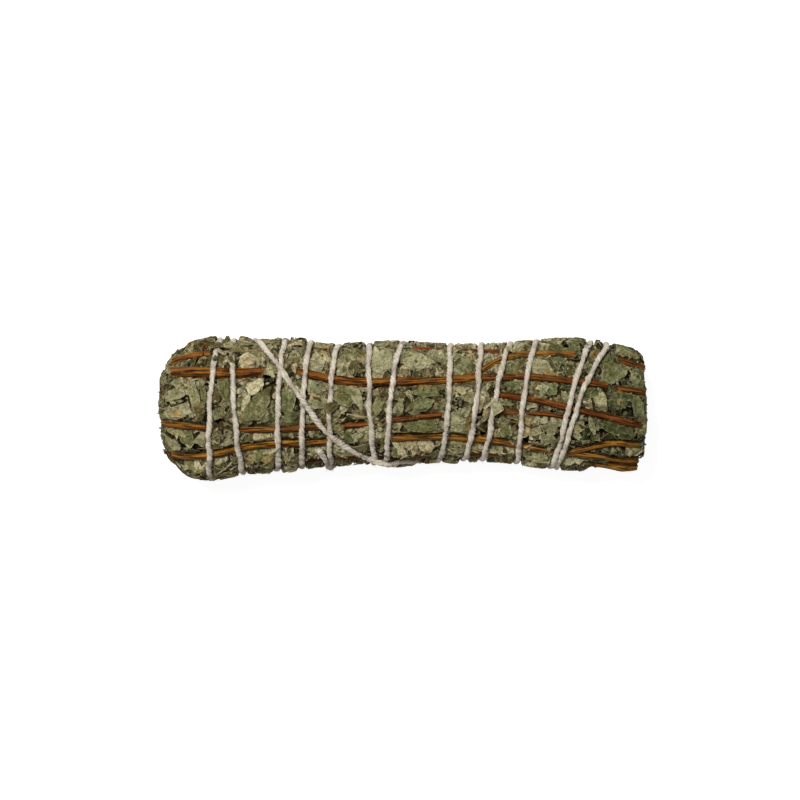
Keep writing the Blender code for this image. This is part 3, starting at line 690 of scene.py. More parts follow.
# The leaves that show best, as seen from above: x, y, length, width, heading in degrees from +X towards +Y,
# paleness (0 dark green, 1 pale grey-green), dryness (0 green, 1 straw-brown), form, and how far its middle
# stands out.
LEAVES_IN_SIGHT = (
    # beside the left end
    (-47.0, 12.9, 3.9, 2.1, 10, 0.95, 0.55, "torn", 0.3),
    (-46.4, 9.7, 3.4, 1.9, -18, 0.75, 0.15, "torn", 0.2),
    (-50.0, 6.1, 3.9, 1.5, 6, 0.65, 0.0, "torn", 0.0),
    (-50.6, 3.2, 4.3, 2.5, 14, 0.74, 0.10, "folded", 0.2),
    (-50.2, -0.8, 6.2, 2.6, 22, 0.78, 0.10, "folded", 0.3),
    (-46.5, 2.9, 6.4, 2.0, -76, 0.70, 0.10, "folded", 0.3),
    (-44.4, 3.2, 5.8, 1.2, -85, 0.52, 0.08, "slender", 0.0),
    (-50.9, -5.2, 5.0, 1.8, -10, 0.58, 0.25, "torn", 0.1),
    (-51.5, -7.9, 3.8, 3.0, 14, 0.72, 0.20, "torn", 0.2),
    (-48.0, -6.6, 3.0, 3.0, 20, 0.45, 0.05, "torn", 0.1),
    (-44.9, -6.8, 2.8, 2.4, 60, 0.70, 0.10, "torn", 0.2),
    (-48.4, -12.2, 5.2, 2.2, -22, 0.55, 0.15, "folded", 0.0),
    # between the first turns from the left
    (-39.6, 4.8, 5.6, 2.4, -80, 0.52, 0.06, "folded", 0.3),
    (-41.0, -1.0, 3.0, 2.2, 30, 0.60, 0.0, "torn", 0.1),
    (-40.5, -11.4, 3.4, 2.7, 20, 0.84, 0.15, "torn", 0.2),
    (-38.7, -6.6, 3.0, 2.4, 50, 0.80, 0.20, "torn", 0.2),
    (-36.9, 13.9, 3.2, 2.2, 0, 0.50, 0.0, "torn", 0.2),
    (-34.0, 10.6, 5.0, 3.6, 10, 0.82, 0.60, "crumpled", 0.3),
    (-33.6, 14.2, 4.4, 1.7, -4, 0.65, 0.05, "torn", 0.2),
    (-32.0, 1.2, 9.0, 3.9, 53, 0.55, 0.08, "whole", 0.3),
    (-32.9, 4.8, 3.7, 2.8, 32, 0.92, 0.35, "torn", 0.6),
    (-34.8, 1.0, 4.8, 1.4, 70, 0.88, 0.35, "slender", 0.4),
    (-29.9, 8.3, 3.4, 2.4, -52, 0.82, 0.15, "torn", 0.5),
    (-30.2, -1.2, 3.2, 2.6, 20, 0.68, 0.05, "crumpled", 0.2),
    (-35.5, -10.0, 3.6, 2.4, 35, 0.60, 0.05, "torn", 0.1),
    (-31.0, -10.6, 4.0, 2.6, -20, 0.50, 0.05, "torn", 0.1),
    # round the slanting run
    (-25.8, 1.7, 4.8, 3.0, 72, 0.55, 0.0, "folded", 0.2),
    (-24.4, -2.0, 4.6, 3.0, 4, 0.50, 0.0, "whole", 0.1),
    (-23.7, 14.4, 4.4, 2.0, 18, 0.88, 0.45, "torn", 0.3),
    (-27.8, 14.4, 3.0, 2.0, -10, 0.58, 0.05, "torn", 0.2),
    (-19.8, 10.2, 3.8, 3.3, 4, 0.84, 0.10, "torn", 0.3),
    (-18.6, 14.6, 5.0, 1.6, -18, 0.82, 0.15, "slender", 0.2),
    (-19.2, 4.4, 3.2, 1.4, -42, 0.66, 0.0, "slender", 0.2),
    (-19.4, 1.0, 3.2, 1.8, -6, 0.76, 0.05, "torn", 0.2),
    (-22.6, 6.2, 3.2, 2.0, 60, 0.45, 0.0, "torn", 0.1),
    (-13.2, 3.0, 5.2, 3.8, -30, 0.50, 0.06, "folded", 0.3),
    (-10.1, 1.8, 3.8, 2.2, -70, 0.78, 0.05, "torn", 0.4),
    (-12.3, 11.6, 4.0, 3.0, 40, 0.60, 0.05, "crumpled", 0.2),
    (-12.0, -9.6, 9.0, 1.9, -5, 0.62, 0.15, "slender", 0.1),
    (-9.0, -8.3, 7.0, 1.5, -3, 0.55, 0.10, "slender", 0.1),
    (-12.1, -6.4, 4.0, 2.0, -10, 0.30, 0.0, "torn", 0.1),
    (-9.8, -6.0, 3.0, 1.6, 20, 0.72, 0.05, "torn", 0.2),
    # the middle
    (-4.3, 11.0, 6.8, 4.8, 42, 0.78, 0.08, "whole", 0.3),
    (-5.6, 8.1, 4.4, 2.4, 28, 0.80, 0.12, "torn", 0.2),
    (3.4, 10.4, 7.4, 4.4, -6, 0.84, 0.12, "whole", 0.3),
    (7.6, 11.2, 4.8, 3.0, -30, 0.70, 0.05, "folded", 0.2),
    (0.4, 12.0, 4.0, 2.4, 20, 0.66, 0.05, "torn", 0.2),
    (12.4, 10.4, 4.4, 3.0, -42, 0.62, 0.0, "folded", 0.3),
    (12.2, 8.5, 3.4, 1.9, 10, 0.82, 0.08, "torn", 0.2),
    (5.3, 3.7, 7.4, 1.9, 2, 0.48, 0.06, "slender", 0.3),
    (4.4, 1.1, 5.0, 3.3, 18, 0.56, 0.0, "whole", 0.3),
    (-5.7, 0.6, 5.4, 1.9, 66, 0.55, 0.12, "folded", 0.3),
    (-0.8, 0.6, 3.4, 2.2, 70, 0.70, 0.05, "torn", 0.2),
    (3.4, -3.6, 8.4, 2.5, -10, 0.42, 0.04, "folded", 0.3),
    (8.6, 0.8, 3.0, 2.0, 30, 0.60, 0.10, "torn", 0.1),
    (11.8, -2.0, 4.2, 2.6, 10, 0.76, 0.10, "folded", 0.2),
    (12.4, -4.2, 4.2, 2.0, 4, 0.72, 0.12, "folded", 0.2),
    (14.0, -0.2, 2.6, 2.1, 40, 0.78, 0.05, "torn", 0.3),
    (2.0, -8.0, 4.2, 2.2, 12, 0.70, 0.30, "curled", 0.3),
    (5.0, -8.4, 3.6, 2.0, -30, 0.72, 0.35, "curled", 0.3),
    (-0.6, -9.4, 3.2, 2.2, 0, 0.45, 0.05, "torn", 0.1),
    (11.8, -7.8, 8.4, 1.7, 3, 0.66, 0.10, "slender", 0.1),
    (12.6, -9.5, 8.0, 1.5, -3, 0.70, 0.18, "slender", 0.1),
    # from the fork to the two close turns
    (23.2, 9.4, 3.2, 2.1, -10, 0.50, 0.0, "torn", 0.2),
    (30.8, 9.2, 5.0, 2.8, -36, 0.76, 0.15, "curled", 0.5),
    (34.9, 10.6, 3.0, 2.5, 50, 0.50, 0.0, "torn", 0.3),
    (33.4, 14.2, 5.2, 1.8, -5, 0.30, 0.0, "slender", 0.2),
    (37.4, 13.6, 4.2, 1.7, -24, 0.40, 0.0, "slender", 0.2),
    (32.4, 4.6, 3.8, 2.6, -10, 0.60, 0.0, "curled", 0.3),
    (31.2, 3.0, 2.6, 1.9, 20, 0.72, 0.05, "torn", 0.3),
    (23.6, 4.5, 4.2, 2.6, 15, 0.50, 0.0, "folded", 0.2),
    (22.9, 1.7, 3.2, 1.7, -12, 0.60, 0.05, "torn", 0.2),
    (29.2, -5.0, 3.2, 1.7, 24, 0.66, 0.20, "torn", 0.2),
    (32.0, -4.3, 3.8, 2.1, -14, 0.66, 0.08, "torn", 0.2),
    (31.8, -6.9, 3.8, 2.3, 42, 0.68, 0.08, "torn", 0.2),
    (29.8, -10.8, 8.2, 2.5, -5, 0.66, 0.10, "whole", 0.1),
    (21.6, -9.0, 7.4, 1.8, -8, 0.60, 0.20, "slender", 0.1),
    (37.9, -11.5, 7.0, 3.0, -4, 0.84, 0.14, "folded", 0.1),
    (38.6, -4.2, 3.6, 2.1, 30, 0.62, 0.22, "torn", 0.2),
    # the right end
    (43.8, 1.8, 4.8, 2.8, -80, 0.74, 0.15, "folded", 0.3),
    (41.0, 1.8, 5.0, 2.0, -86, 0.74, 0.32, "folded", 0.2),
    (48.5, 8.4, 5.2, 3.3, 60, 0.60, 0.0, "folded", 0.3),
    (46.3, 7.0, 4.2, 2.8, 18, 0.60, 0.0, "torn", 0.2),
    (52.6, 7.5, 3.2, 2.6, 40, 0.48, 0.0, "torn", 0.2),
    (53.0, 5.4, 3.2, 1.9, 0, 0.60, 0.0, "torn", 0.2),
    (49.8, 2.4, 3.2, 2.2, 24, 0.34, 0.0, "torn", 0.2),
    (52.0, 0.5, 4.2, 2.3, -78, 0.58, 0.0, "folded", 0.2),
    (46.4, -4.2, 4.0, 2.2, -20, 0.22, 0.0, "folded", 0.2),
    (49.4, -5.4, 4.4, 2.5, -10, 0.20, 0.0, "whole", 0.2),
    (41.9, -3.7, 3.4, 1.3, -70, 0.72, 0.05, "slender", 0.2),
    (51.5, -9.8, 3.8, 1.6, -8, 0.66, 0.12, "torn", 0.0),
    (50.4, 12.6, 4.4, 2.2, -20, 0.50, 0.18, "torn", 0.2),
    (53.6, 9.9, 3.6, 1.6, -40, 0.55, 0.50, "slender", 0.3),
)

# Torn pieces that lie over a turn of the string: the same values.
LEAVES_ON_STRING = (
    (-41.6, 13.4, 3.2, 1.8, 35, 0.30, 0.20, "torn", 0.1),
    (-40.4, 12.2, 2.0, 1.2, -20, 0.75, 0.35, "torn", 0.1),
    (-41.9, 10.7, 1.5, 0.9, 60, 0.40, 0.20, "torn", 0.1),
    (-38.3, 13.4, 3.0, 1.8, -10, 0.62, 0.25, "torn", 0.1),
    (-37.4, 12.4, 3.2, 2.2, 30, 0.55, 0.20, "torn", 0.1),
    (-38.2, 10.4, 2.0, 1.4, -40, 0.35, 0.15, "torn", 0.1),
    (23.9, 12.8, 2.0, 1.2, -25, 0.75, 0.30, "torn", 0.0),
    (-15.9, 0.5, 3.2, 2.0, 20, 0.28, 0.20, "torn", 0.15),
    (20.7, 0.7, 3.2, 2.8, -60, 0.88, 0.08, "torn", 0.15),
)


def leaf_form(columns, widths, tear, seed):
    """The points and faces of a leaf a unit long and wide: a grid drawn in to an outline, torn, thickened."""
    rows = len(widths) - 1
    bpy.ops.mesh.primitive_grid_add(x_subdivisions=rows, y_subdivisions=columns, size=1)
    made = bpy.context.object
    rim = [max(abs(vert.co.x), abs(vert.co.y)) > 0.49 for vert in made.data.vertices]
    bpy.ops.object.mode_set(mode="EDIT")
    for row, width in enumerate(widths):
        x = row / rows - 0.5
        select(made, "VERT", lambda vert: abs(vert.co.x - x) < 0.2 / rows)
        bpy.ops.transform.resize(value=(1, width, 1), center_override=(x, 0, 0))
    bpy.ops.mesh.select_all(action="SELECT")
    bpy.ops.mesh.region_to_loop()
    bpy.ops.transform.vertex_random(offset=tear, seed=seed)
    bpy.ops.mesh.select_all(action="SELECT")
    bpy.ops.transform.resize(value=(1, 1, 0))
    bpy.ops.object.mode_set(mode="OBJECT")
    thick = made.modifiers.new("thickness", "SOLIDIFY")
    thick.thickness = 1
    thick.offset = 0
    bpy.ops.object.modifier_apply(modifier="thickness")
    points = np.column_stack([vertices_of(made), np.tile(rim, 2)])
    faces = np.array([tuple(face.vertices) for face in made.data.polygons])
    bpy.data.objects.remove(made, do_unlink=True)
    return points, faces


# Outlines, as a leaf's width at even steps along it.
OVATE = (0.16, 0.55, 0.86, 1.0, 0.98, 0.84, 0.58, 0.30, 0.08)
SQUARE_ENDED = (0.78, 0.95, 1.0, 0.97, 1.0, 0.94, 0.90, 0.70)
ONE_END_SPLIT = (0.35, 0.72, 0.95, 1.0, 0.96, 1.0, 0.92, 0.80)
BROKEN = [(0.30, 0.62, 0.86, 1.0, 0.82), (0.85, 1.0, 0.80, 0.52, 0.22), (0.70, 0.95, 1.0, 0.88, 0.72)]
RAGGED = [(0.55, 0.8, 1.0, 0.62), (0.9, 1.0, 0.62, 0.2)]
NARROW = (0.25, 0.7, 1.0, 0.95, 0.7, 0.2)
ROUNDED_OFF = (0.6, 1.0, 0.4)
# Each form: how many faces across, how far its edge is torn, and its outlines.
FORMS = {
    "whole": (4, 0.10, [OVATE] * 3),
    "torn": (3, 0.10, BROKEN * 2),
    "scrap": (2, 0.14, RAGGED * 2 + RAGGED[:1]),
    "slender": (2, 0.05, [NARROW] * 3),
    "crumb": (1, 0.20, [ROUNDED_OFF] * 4),
    "folded": (4, 0.06, [SQUARE_ENDED] * 2 + [ONE_END_SPLIT] * 2),
}
seeds = itertools.count(1)
leaf_forms = {
    form: [leaf_form(columns, outline, tear, next(seeds)) for outline in outlines]
    for form, (columns, tear, outlines) in FORMS.items()
}
leaf_forms["curled"] = leaf_forms["crumpled"] = leaf_forms["folded"]

FAR = 99.0  # from any string
STICK_RADIUS = 14  # at which lumps are as long round the stick as along it
SLOPE_STEP = 0.25  # along the stick, to each side of the place where the skin's slope is taken


def beside_turns(x, clock):
    """How far each place is from the nearest turn of the string, measured along the stick."""
    clock = apart(clock, 0)
    gap = np.full(x.shape, FAR)
    for turn in range(-1, len(TURNS) + 1):
        there = clock - 360 * turn
        wound_there = (there >= last_clock) & (there <= first_clock)
        gap = np.where(wound_there, np.minimum(gap, np.abs(x - along(turns, there)[0])), gap)
    return gap


def beside_last_run(x, clock, first, last):
    """How far each place is from the string's last run, from one clock angle of it to another."""
    gap = np.full(x.shape, FAR)
    for there_x, there_clock in spaced(last_run, 0.8, (1, MM_A_DEGREE)):
        if last <= there_clock <= first:
            gap = np.minimum(gap, np.hypot(x - there_x, apart(clock, there_clock) * MM_A_DEGREE))
    return gap


def skin(s, clock, left, right):
    """The leaves' skin where s runs along the stick and on over its ends: x, depth and gap to the string."""
    x = np.clip(s, left, right)
    over = np.maximum(left - s, 0) + np.maximum(s - right, 0)
    (long_left, deep_left), (long_right, deep_right) = LEFT_ROUNDING, RIGHT_ROUNDING
    from_left = np.clip((left + long_left - x) / long_left, 0, 1)
    from_right = np.clip((x - right + long_right) / long_right, 0, 1)
    rounded = deep_left * (1 - np.sqrt(1 - ROUNDED_SHARE * from_left**2)) + deep_right * from_right**2
    gap = np.minimum(beside_turns(x, clock), beside_last_run(x, clock, ROUND_BACK, RISES_FROM))
    around = STICK_RADIUS * np.sin(clock * DEGREE), STICK_RADIUS * np.cos(clock * DEGREE)
    lumps = LUMPS * ripple(np.stack([x, *around], axis=-1), 7, 903)
    groove = GROOVE_DEPTH * (1 - EDGE_SHALLOWER * at_edge(clock)) - SWELL_SLOPE * gap
    depth = np.maximum(rounded, np.maximum(0, groove)) + lumps + over
    return x, raised(x, clock, depth, np.maximum(LOWEST_SKIN, LOWEST_STRING + groove)), gap


def stem_at(stem, x, clock):
    """A stem's radius at each x, and how many degrees round from its middle each clock angle is."""
    course, left, right, r_left, r_right, *_ = stem
    return r_left + (x - left) / (right - left) * (r_right - r_left), apart(clock, along(course, x)[0])


def ceiling(s, x, clock, depth, gap):
    """The most height over the skin that leaves have at each place, under the string and beside the stems."""
    string_there = raised(x, clock, string_depth(clock), LOWEST_STRING)
    slope = STRING_SLOPE + EDGE_SLOPE * at_edge(clock)
    under_string = depth - string_there - STRING_RADIUS + slope * np.maximum(gap - CLEAR_OF_STRING, 0)
    rise = SLANT_SLOPE * np.maximum(beside_last_run(x, clock, RISES_FROM, -999) - CLEAR_OF_STRING, 0)
    most = np.minimum(under_string, depth - SLANT_DEPTH - STRING_RADIUS + rise)
    unrolled = np.stack([x, clock * MM_A_DEGREE], axis=-1)
    uneven = x + 0.9 * ripple(unrolled, 2.6, 902)
    over_bark = OVER_BARK_UNEVEN * ripple(unrolled, 1.8, 905) + OVER_BARK
    for stem in STEMS.values():
        radius, around = stem_at(stem, x, clock)
        aside = np.abs(around) * DEGREE * section(x)[3]
        near = (aside < radius + STEM_REACH) & (s > stem[1] - 0.3) & (s < stem[2] + 0.3)
        for start, end in stem[-1]:
            near &= (uneven < start) | (uneven > end)
        above = (around * clock < 0) & (np.abs(clock) < 89)
        slope = STEM_IN_SIGHT / np.maximum(np.tan(np.abs(clock) * DEGREE), 0.1)
        slope = np.clip(np.where(above, slope, STEM_SLOPE), LEAST_SLOPE, STEM_SLOPE)
        beside_stem = depth - stem_depth(x, clock, radius) + over_bark
        beside_stem = beside_stem + slope * np.maximum(aside - radius - 0.1, 0)
        most = np.where(near, np.minimum(most, beside_stem), most)
    return most


def off_table(z):
    """Heights over the table, where the lowest are pressed together and none is under LOWEST_LEAF."""
    room = FLATTENED_UNDER - LOWEST_LEAF
    pressed = LOWEST_LEAF + room / (1 + np.maximum(FLATTENED_UNDER - z, 0) / room)
    return np.where(z < FLATTENED_UNDER, pressed, z)


def on_stick(s, clock, height, left, right, on_string):
    """The points this high over the skin."""
    x, depth, gap = skin(s, clock, left, right)
    ahead, depth_ahead, _ = skin(s + SLOPE_STEP, clock, left, right)
    behind, depth_behind, _ = skin(s - SLOPE_STEP, clock, left, right)
    run, rise = ahead - behind, depth_behind - depth_ahead
    length = np.maximum(np.hypot(run, rise), 1e-6)
    if on_string:
        depth = np.minimum(depth, STRING_DEPTH - STRING_RADIUS - OVER_STRING + DRAPED * gap**2)
    else:
        most = ceiling(s, x, clock, depth, gap)
        share = SQUEEZED_IN / (np.maximum(HIGHEST_LEAF - most, 0) + SQUEEZED_IN)
        squeezed = most - SQUEEZED_IN + (height - most + SQUEEZED_IN) * share
        height = np.where(height > most - SQUEEZED_IN, np.minimum(squeezed, height), height)
        flat = np.clip(np.minimum(s - left, right - s) / END_STRETCH, 0, 1)
        flat = EDGE_HEIGHT + np.abs(np.cos(clock * DEGREE)) * flat
        height = np.where(height > flat, flat + EDGE_FLATTENED * (height - flat), height)
    x = x - height * rise / length
    x = x + (1 - PAST_ENDS) * (np.maximum(left - x, 0) - np.maximum(x - right, 0))
    points = under_tips(x, clock, depth - height * run / length, -FAR)
    points[:, 2] = off_table(points[:, 2])
    return points


def bent(draw, form, length, width, curls, crumple):
    """Leaves of one form, bent and crumpled: how far each point is along, across and up, and their faces."""
    first = draw.integers(len(leaf_forms[form]))
    shapes = leaf_forms[form][first:] + leaf_forms[form][:first]
    for number, (flat, quads) in enumerate(shapes):
        mine = np.arange(number, len(length), len(shapes))
        if not len(mine):
            continue
        u = flat[None, :, 0] * length[mine, None]
        v = flat[None, :, 1] * width[mine, None]
        tip_up, side_up, fold, roll, bow = (curls[mine, i, None] for i in range(5))
        w = tip_up * u + side_up * v + fold * np.abs(v) + roll * v**2 + bow * u**2
        waves = draw.normal(0, 2.0, (len(mine), 1, 3, 2))
        phase = draw.uniform(0, 2 * math.pi, (len(mine), 1, 3))
        lumps = np.sin((np.stack([u, v], -1)[:, :, None] * waves).sum(-1) + phase).sum(-1)
        w = w + crumple[mine, None] * lumps
        w = w - w.mean(1, keepdims=True) + flat[None, :, 2] * LEAF_THICKNESS
        yield mine, flat, quads, u, v, w


def finished(points, flat, quads, pale, dry, depth_shade):
    """A batch of leaves with what their felt reads: paleness, dryness, painted shade for how deep they lie,
    and place on the leaf.
    """
    count = len(pale)
    faces = (quads[None] + len(flat) * np.arange(count)[:, None, None]).reshape(-1, 4)
    tint = [np.broadcast_to(value, (count, len(flat))) for value in (pale[:, None], dry[:, None], depth_shade)]
    spot = np.column_stack([flat[:, :2] + 0.5, flat[:, 3]])
    return points, faces, np.stack(tint, axis=-1).reshape(-1, 3), np.tile(spot, (count, 1))


def laid(draw, form, leaves, ends, on_string=False):
    """Leaves laid on the stick's skin, as a list of (points, faces, tint, place on the leaf)."""
    s, clock, length, width, heading, pale, dry, height, crumple = leaves[:, :9].T
    left, right = ends[0] + END_ROOM, ends[1] - END_ROOM
    parts = []
    for mine, flat, quads, u, v, w in bent(draw, form, length, width, leaves[:, 9:], crumple):
        turn = heading[mine, None] * DEGREE
        x = np.clip(s[mine, None], left, right)
        round_here = np.maximum(section(x)[3] - np.abs(s[mine, None] - x), 1.5) * DEGREE
        way = s[mine, None] + u * np.cos(turn) - v * np.sin(turn)
        around = clock[mine, None] + (u * np.sin(turn) + v * np.cos(turn)) / round_here
        up = w + height[mine, None]
        points = on_stick(way.ravel(), around.ravel(), up.ravel(), left, right, on_string)
        # Painted shade: leaves that lie under the skin are darkened, the deeper the darker.
        depth_shade = np.clip(DEPTH_SHADE_RATE * (0.04 - up), 0, 0.8)
        parts.append(finished(points, flat, quads, pale[mine], dry[mine], depth_shade))
    return parts


def in_section(points):
    """How far out points are, as a share of the way from the middle to the tips, and their clock angle."""
    y, z, half_width, half_height = section(points[:, 0])
    across, up = (points[:, 1] - y) / half_width, (points[:, 2] - z) / half_height
    return np.hypot(across, up), np.degrees(np.arctan2(across, up))


def drawn_in(points, shares):
    """Moves points in or out across the stick, by these shares of their way from its middle."""
    y, z = section(points[:, 0])[:2]
    points[:, 1] = y + (points[:, 1] - y) * shares
    points[:, 2] = off_table(z + (points[:, 2] - z) * shares)


def standing(draw, form, count, tips_x, inwards, start, span):
    """Leaves that lie lengthwise inside an end of the stick, their edges showing there."""
    length, width = draw.uniform(*STANDING_LENGTHS, count), draw.uniform(*STANDING_WIDTHS, count)
    tilts, bends = draw.normal(0, STANDING_TILT, (count, 2)), draw.normal(0, STANDING_CURLS, (count, 3))
    tips = tips_x + draw.uniform(*STANDING_INSIDE, count) * inwards
    clock = start + span * draw.uniform(0, 1, count)
    share = np.sqrt(draw.uniform(0.0, STANDING_OUT, count))
    facing = clock * DEGREE + draw.normal(0, STANDING_TURNED, count)
    slant = draw.normal(0, STANDING_SLANT, (count, 2))
    pale, dry = draw.normal(*STANDING_PALE, count), np.abs(draw.normal(*STANDING_DRY, count))
    curls, crumple = np.column_stack([tilts, bends]), draw.uniform(*STANDING_CRUMPLE, count)
    parts = []
    for mine, flat, quads, u, v, w in bent(draw, form, length, width, curls, crumple):
        y, z, half_width, half_height = section(tips[mine])
        middle = np.column_stack([
            tips[mine] + inwards * length[mine] / 2,
            y + share[mine] * half_width * np.sin(clock[mine] * DEGREE),
            z + share[mine] * half_height * np.cos(clock[mine] * DEGREE),
        ])
        ahead = np.column_stack([np.ones(len(mine)), slant[mine]])
        up = np.column_stack([0 * facing[mine], np.sin(facing[mine]), np.cos(facing[mine])])
        points = middle[:, None] + u[..., None] * ahead[:, None] + v[..., None] * np.cross(up, ahead)[:, None]
        points = (points + w[..., None] * up[:, None]).reshape(-1, 3)
        out = in_section(points)[0]
        past = STANDING_REACH + STANDING_PAST * (out - STANDING_REACH)
        drawn_in(points, np.where(out > STANDING_REACH, past / out, 1))
        # These standing leaves get painted shade, as leaves inside the ends.
        parts.append(finished(points, flat, quads, pale[mine], dry[mine], STANDING_SHADE))
    return parts


BED_VOXEL = 0.85
BED_DEPTH = 0.5  # under the bunch's solid
BED_UNDER_SKIN = 0.4  # on the underside
BED_UNDER_STEMS = 0.2
BED_LUMPS = 0.28
BED_SHORTENED = (10.0, 2.8)  # over how long a stretch at each end the bed is drawn in, and how far
BED_TINT = (0.35, 0.25, 0.8)  # paleness, dryness and painted shade, as dark as for leaf buried deep


def leaf_bed(name):
    """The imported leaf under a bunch's skin: its solid, rounded and drawn in. Points, faces, tint, place."""
    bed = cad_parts[name].copy()
    bed.data = bed.data.copy()
    bed.parent = None
    bpy.context.scene.collection.objects.link(bed)
    bpy.ops.object.select_all(action="DESELECT")
    bpy.context.view_layer.objects.active = bed
    bed.select_set(True)
    bpy.ops.object.mode_set(mode="EDIT")
    bpy.ops.mesh.select_all(action="SELECT")
    bpy.ops.mesh.remove_doubles(threshold=1e-6)
    bpy.ops.object.mode_set(mode="OBJECT")
    bed.data.remesh_voxel_size = BED_VOXEL * MM
    bpy.ops.object.voxel_remesh()
    bpy.ops.object.mode_set(mode="EDIT")
    bpy.ops.mesh.select_all(action="SELECT")
    bpy.ops.transform.shrink_fatten(value=-BED_DEPTH * MM)
    bpy.ops.object.mode_set(mode="OBJECT")
    points = vertices_of(bed) / MM
    faces = np.array([tuple(face.vertices) for face in bed.data.polygons if len(face.vertices) == 4])
    bpy.data.objects.remove(bed, do_unlink=True)

    points = points + unit(from_middle(points)) * (BED_LUMPS * ripple(points, 1.7, 801))[:, None]
    x, half_height = points[:, 0], section(points[:, 0])[3]
    share, clock = in_section(points)
    kept = share
    for stem in STEMS.values():
        radius, around = stem_at(stem, x, clock)
        near = (np.abs(around) * DEGREE * half_height < radius + 0.5) & (x > stem[1]) & (x < stem[2])
        under_stem = 1 - (stem_depth(x, clock, radius) + BED_UNDER_STEMS) / half_height
        kept = np.where(near, np.minimum(kept, under_stem), kept)
    under = raised(x, clock, 0, LOWEST_SKIN + BED_UNDER_SKIN) / half_height
    kept = np.where(under > 0, np.minimum(kept, 1 - under), kept)
    drawn_in(points, kept / share)
    stretch, shortened = BED_SHORTENED
    left, right = x.min(), x.max()
    points[:, 0] += shortened / stretch * np.maximum(left + stretch - x, 0)
    points[:, 0] -= shortened / stretch * np.maximum(points[:, 0] - right + stretch, 0)
    return points, faces, np.tile(BED_TINT, (len(points), 1)), np.full((len(points), 3), 0.25)


# What fills a bunch between the leaves in sight, from underneath to the top: the form, how many to a square
# millimetre, length, width as a share of it, height over the skin, how far it tilts, and how crumpled it is.
FILLING = (
    ("whole", 0.035, (5.0, 8.5), (0.38, 0.60), (-0.60, -0.15), 0.12, 0.16),
    ("scrap", 0.30, (1.0, 2.4), (0.50, 1.00), (-0.85, -0.35), 0.30, 0.10),
    ("torn", 0.10, (2.6, 4.8), (0.50, 0.85), (-0.45, 0.25), 0.24, 0.17),
    ("scrap", 0.26, (1.2, 2.6), (0.50, 1.00), (-0.40, 0.35), 0.34, 0.12),
    ("crumb", 0.95, (0.35, 1.1), (0.40, 1.00), (-0.45, 0.30), 0.55, 0.04),
    ("stalk", 0.05, (2.5, 6.5), (0.04, 0.08), (-0.10, 0.35), 0.08, 0.02),
)
COARSE = ("whole", "torn")  # the forms that are folded along their rib
PALE, DRY = (0.57, 0.31), (0.24, 0.14)  # the mean and spread of the filling's tones
PATCHES = 0.10  # how much paler and darker it is in patches
BROWNED, BROWNER = 0.06, 0.6  # the share of it that dried brown, and how much browner that is
STALK_PALE, STALK_DRY, STALK_SPREAD = (0.2, 1.0), (0.75, 1.0), 24  # tones, and degrees from lengthwise
GREENER_FROM, GREENER_OVER = 26, 20  # leaves towards the right end are greener, from this x over this length
GREENER, GREENER_BACK = 0.35, 0.05  # on the front and at the back
DARKER_FROM, DARKER_OVER = -36, 8  # and those towards the left end are darker
DARKER, DARKER_EDGES = 0.14, 0.34  # in the middle and at the upper and lower edges
EDGE_BUNCHES, FRONT_BUNCHES = (0, 4), (0, 1, 2, 3, 8)  # counted from 0

# The leaves in sight: how high they are lifted, and how they are folded, curled and bowed, and how crumpled.
IN_SIGHT_LIFT = 0.2
STIFF = {
    "torn": (0.0, 0.07, 0.03, 0.19),
    "folded": (0.62, 0.0, 0.0, 0.16),
    "whole": (0.25, 0.05, 0.01, 0.19),
    "slender": (0.25, 0.0, 0.0, 0.19),
    "curled": (0.0, 0.42, 0.05, 0.19),
    "crumpled": (0.0, 0.05, 0.05, 0.34),
}


def clock_seen(x, y):
    """The clock angle of the point on the stick's front that is seen from above at x and y."""
    middle, _, half_width, _ = section(x)
    return np.degrees(np.arcsin(np.clip((y - middle) / half_width, -1, 1)))


def bunch_at(x, clock):
    """The number of the bunch, from 0, that each place is in."""
    first = along(SEAMS[0], x)[0]
    below = (first - clock) % 360
    return sum((below > (first - along(seam, x)[0]) % 360).astype(int) for seam in SEAMS[1:])


def bunch_span(number, x):
    """The clock angle at which a bunch starts, and how many degrees it reaches down from there."""
    start = along(SEAMS[number], x)[0]
    return start, (start - along(SEAMS[(number + 1) % len(SEAMS)], x)[0]) % 360


in_sight, on_string = [
    [(x, clock_seen(x, y), *rest) for x, y, *rest in leaves] for leaves in (LEAVES_IN_SIGHT, LEAVES_ON_STRING)
]


def left_free(s, clock, share):
    """Whether each place is clear of the holes and of the leaves in sight, their outlines scaled by share."""
    free = np.ones(len(s), bool)
    for x, there, length, width, heading, *_ in in_sight:
        across = apart(clock, there) * MM_A_DEGREE
        turn = heading * DEGREE
        u = (s - x) * np.cos(turn) + across * np.sin(turn)
        v = across * np.cos(turn) - (s - x) * np.sin(turn)
        free &= (u / length) ** 2 + (v / width) ** 2 > (share / 2) ** 2
    for x, y, length, width in HOLES:
        across = apart(clock, clock_seen(x, y)) * MM_A_DEGREE
        free &= ((s - x) / length) ** 2 + (across / width) ** 2 > 0.8
    return free


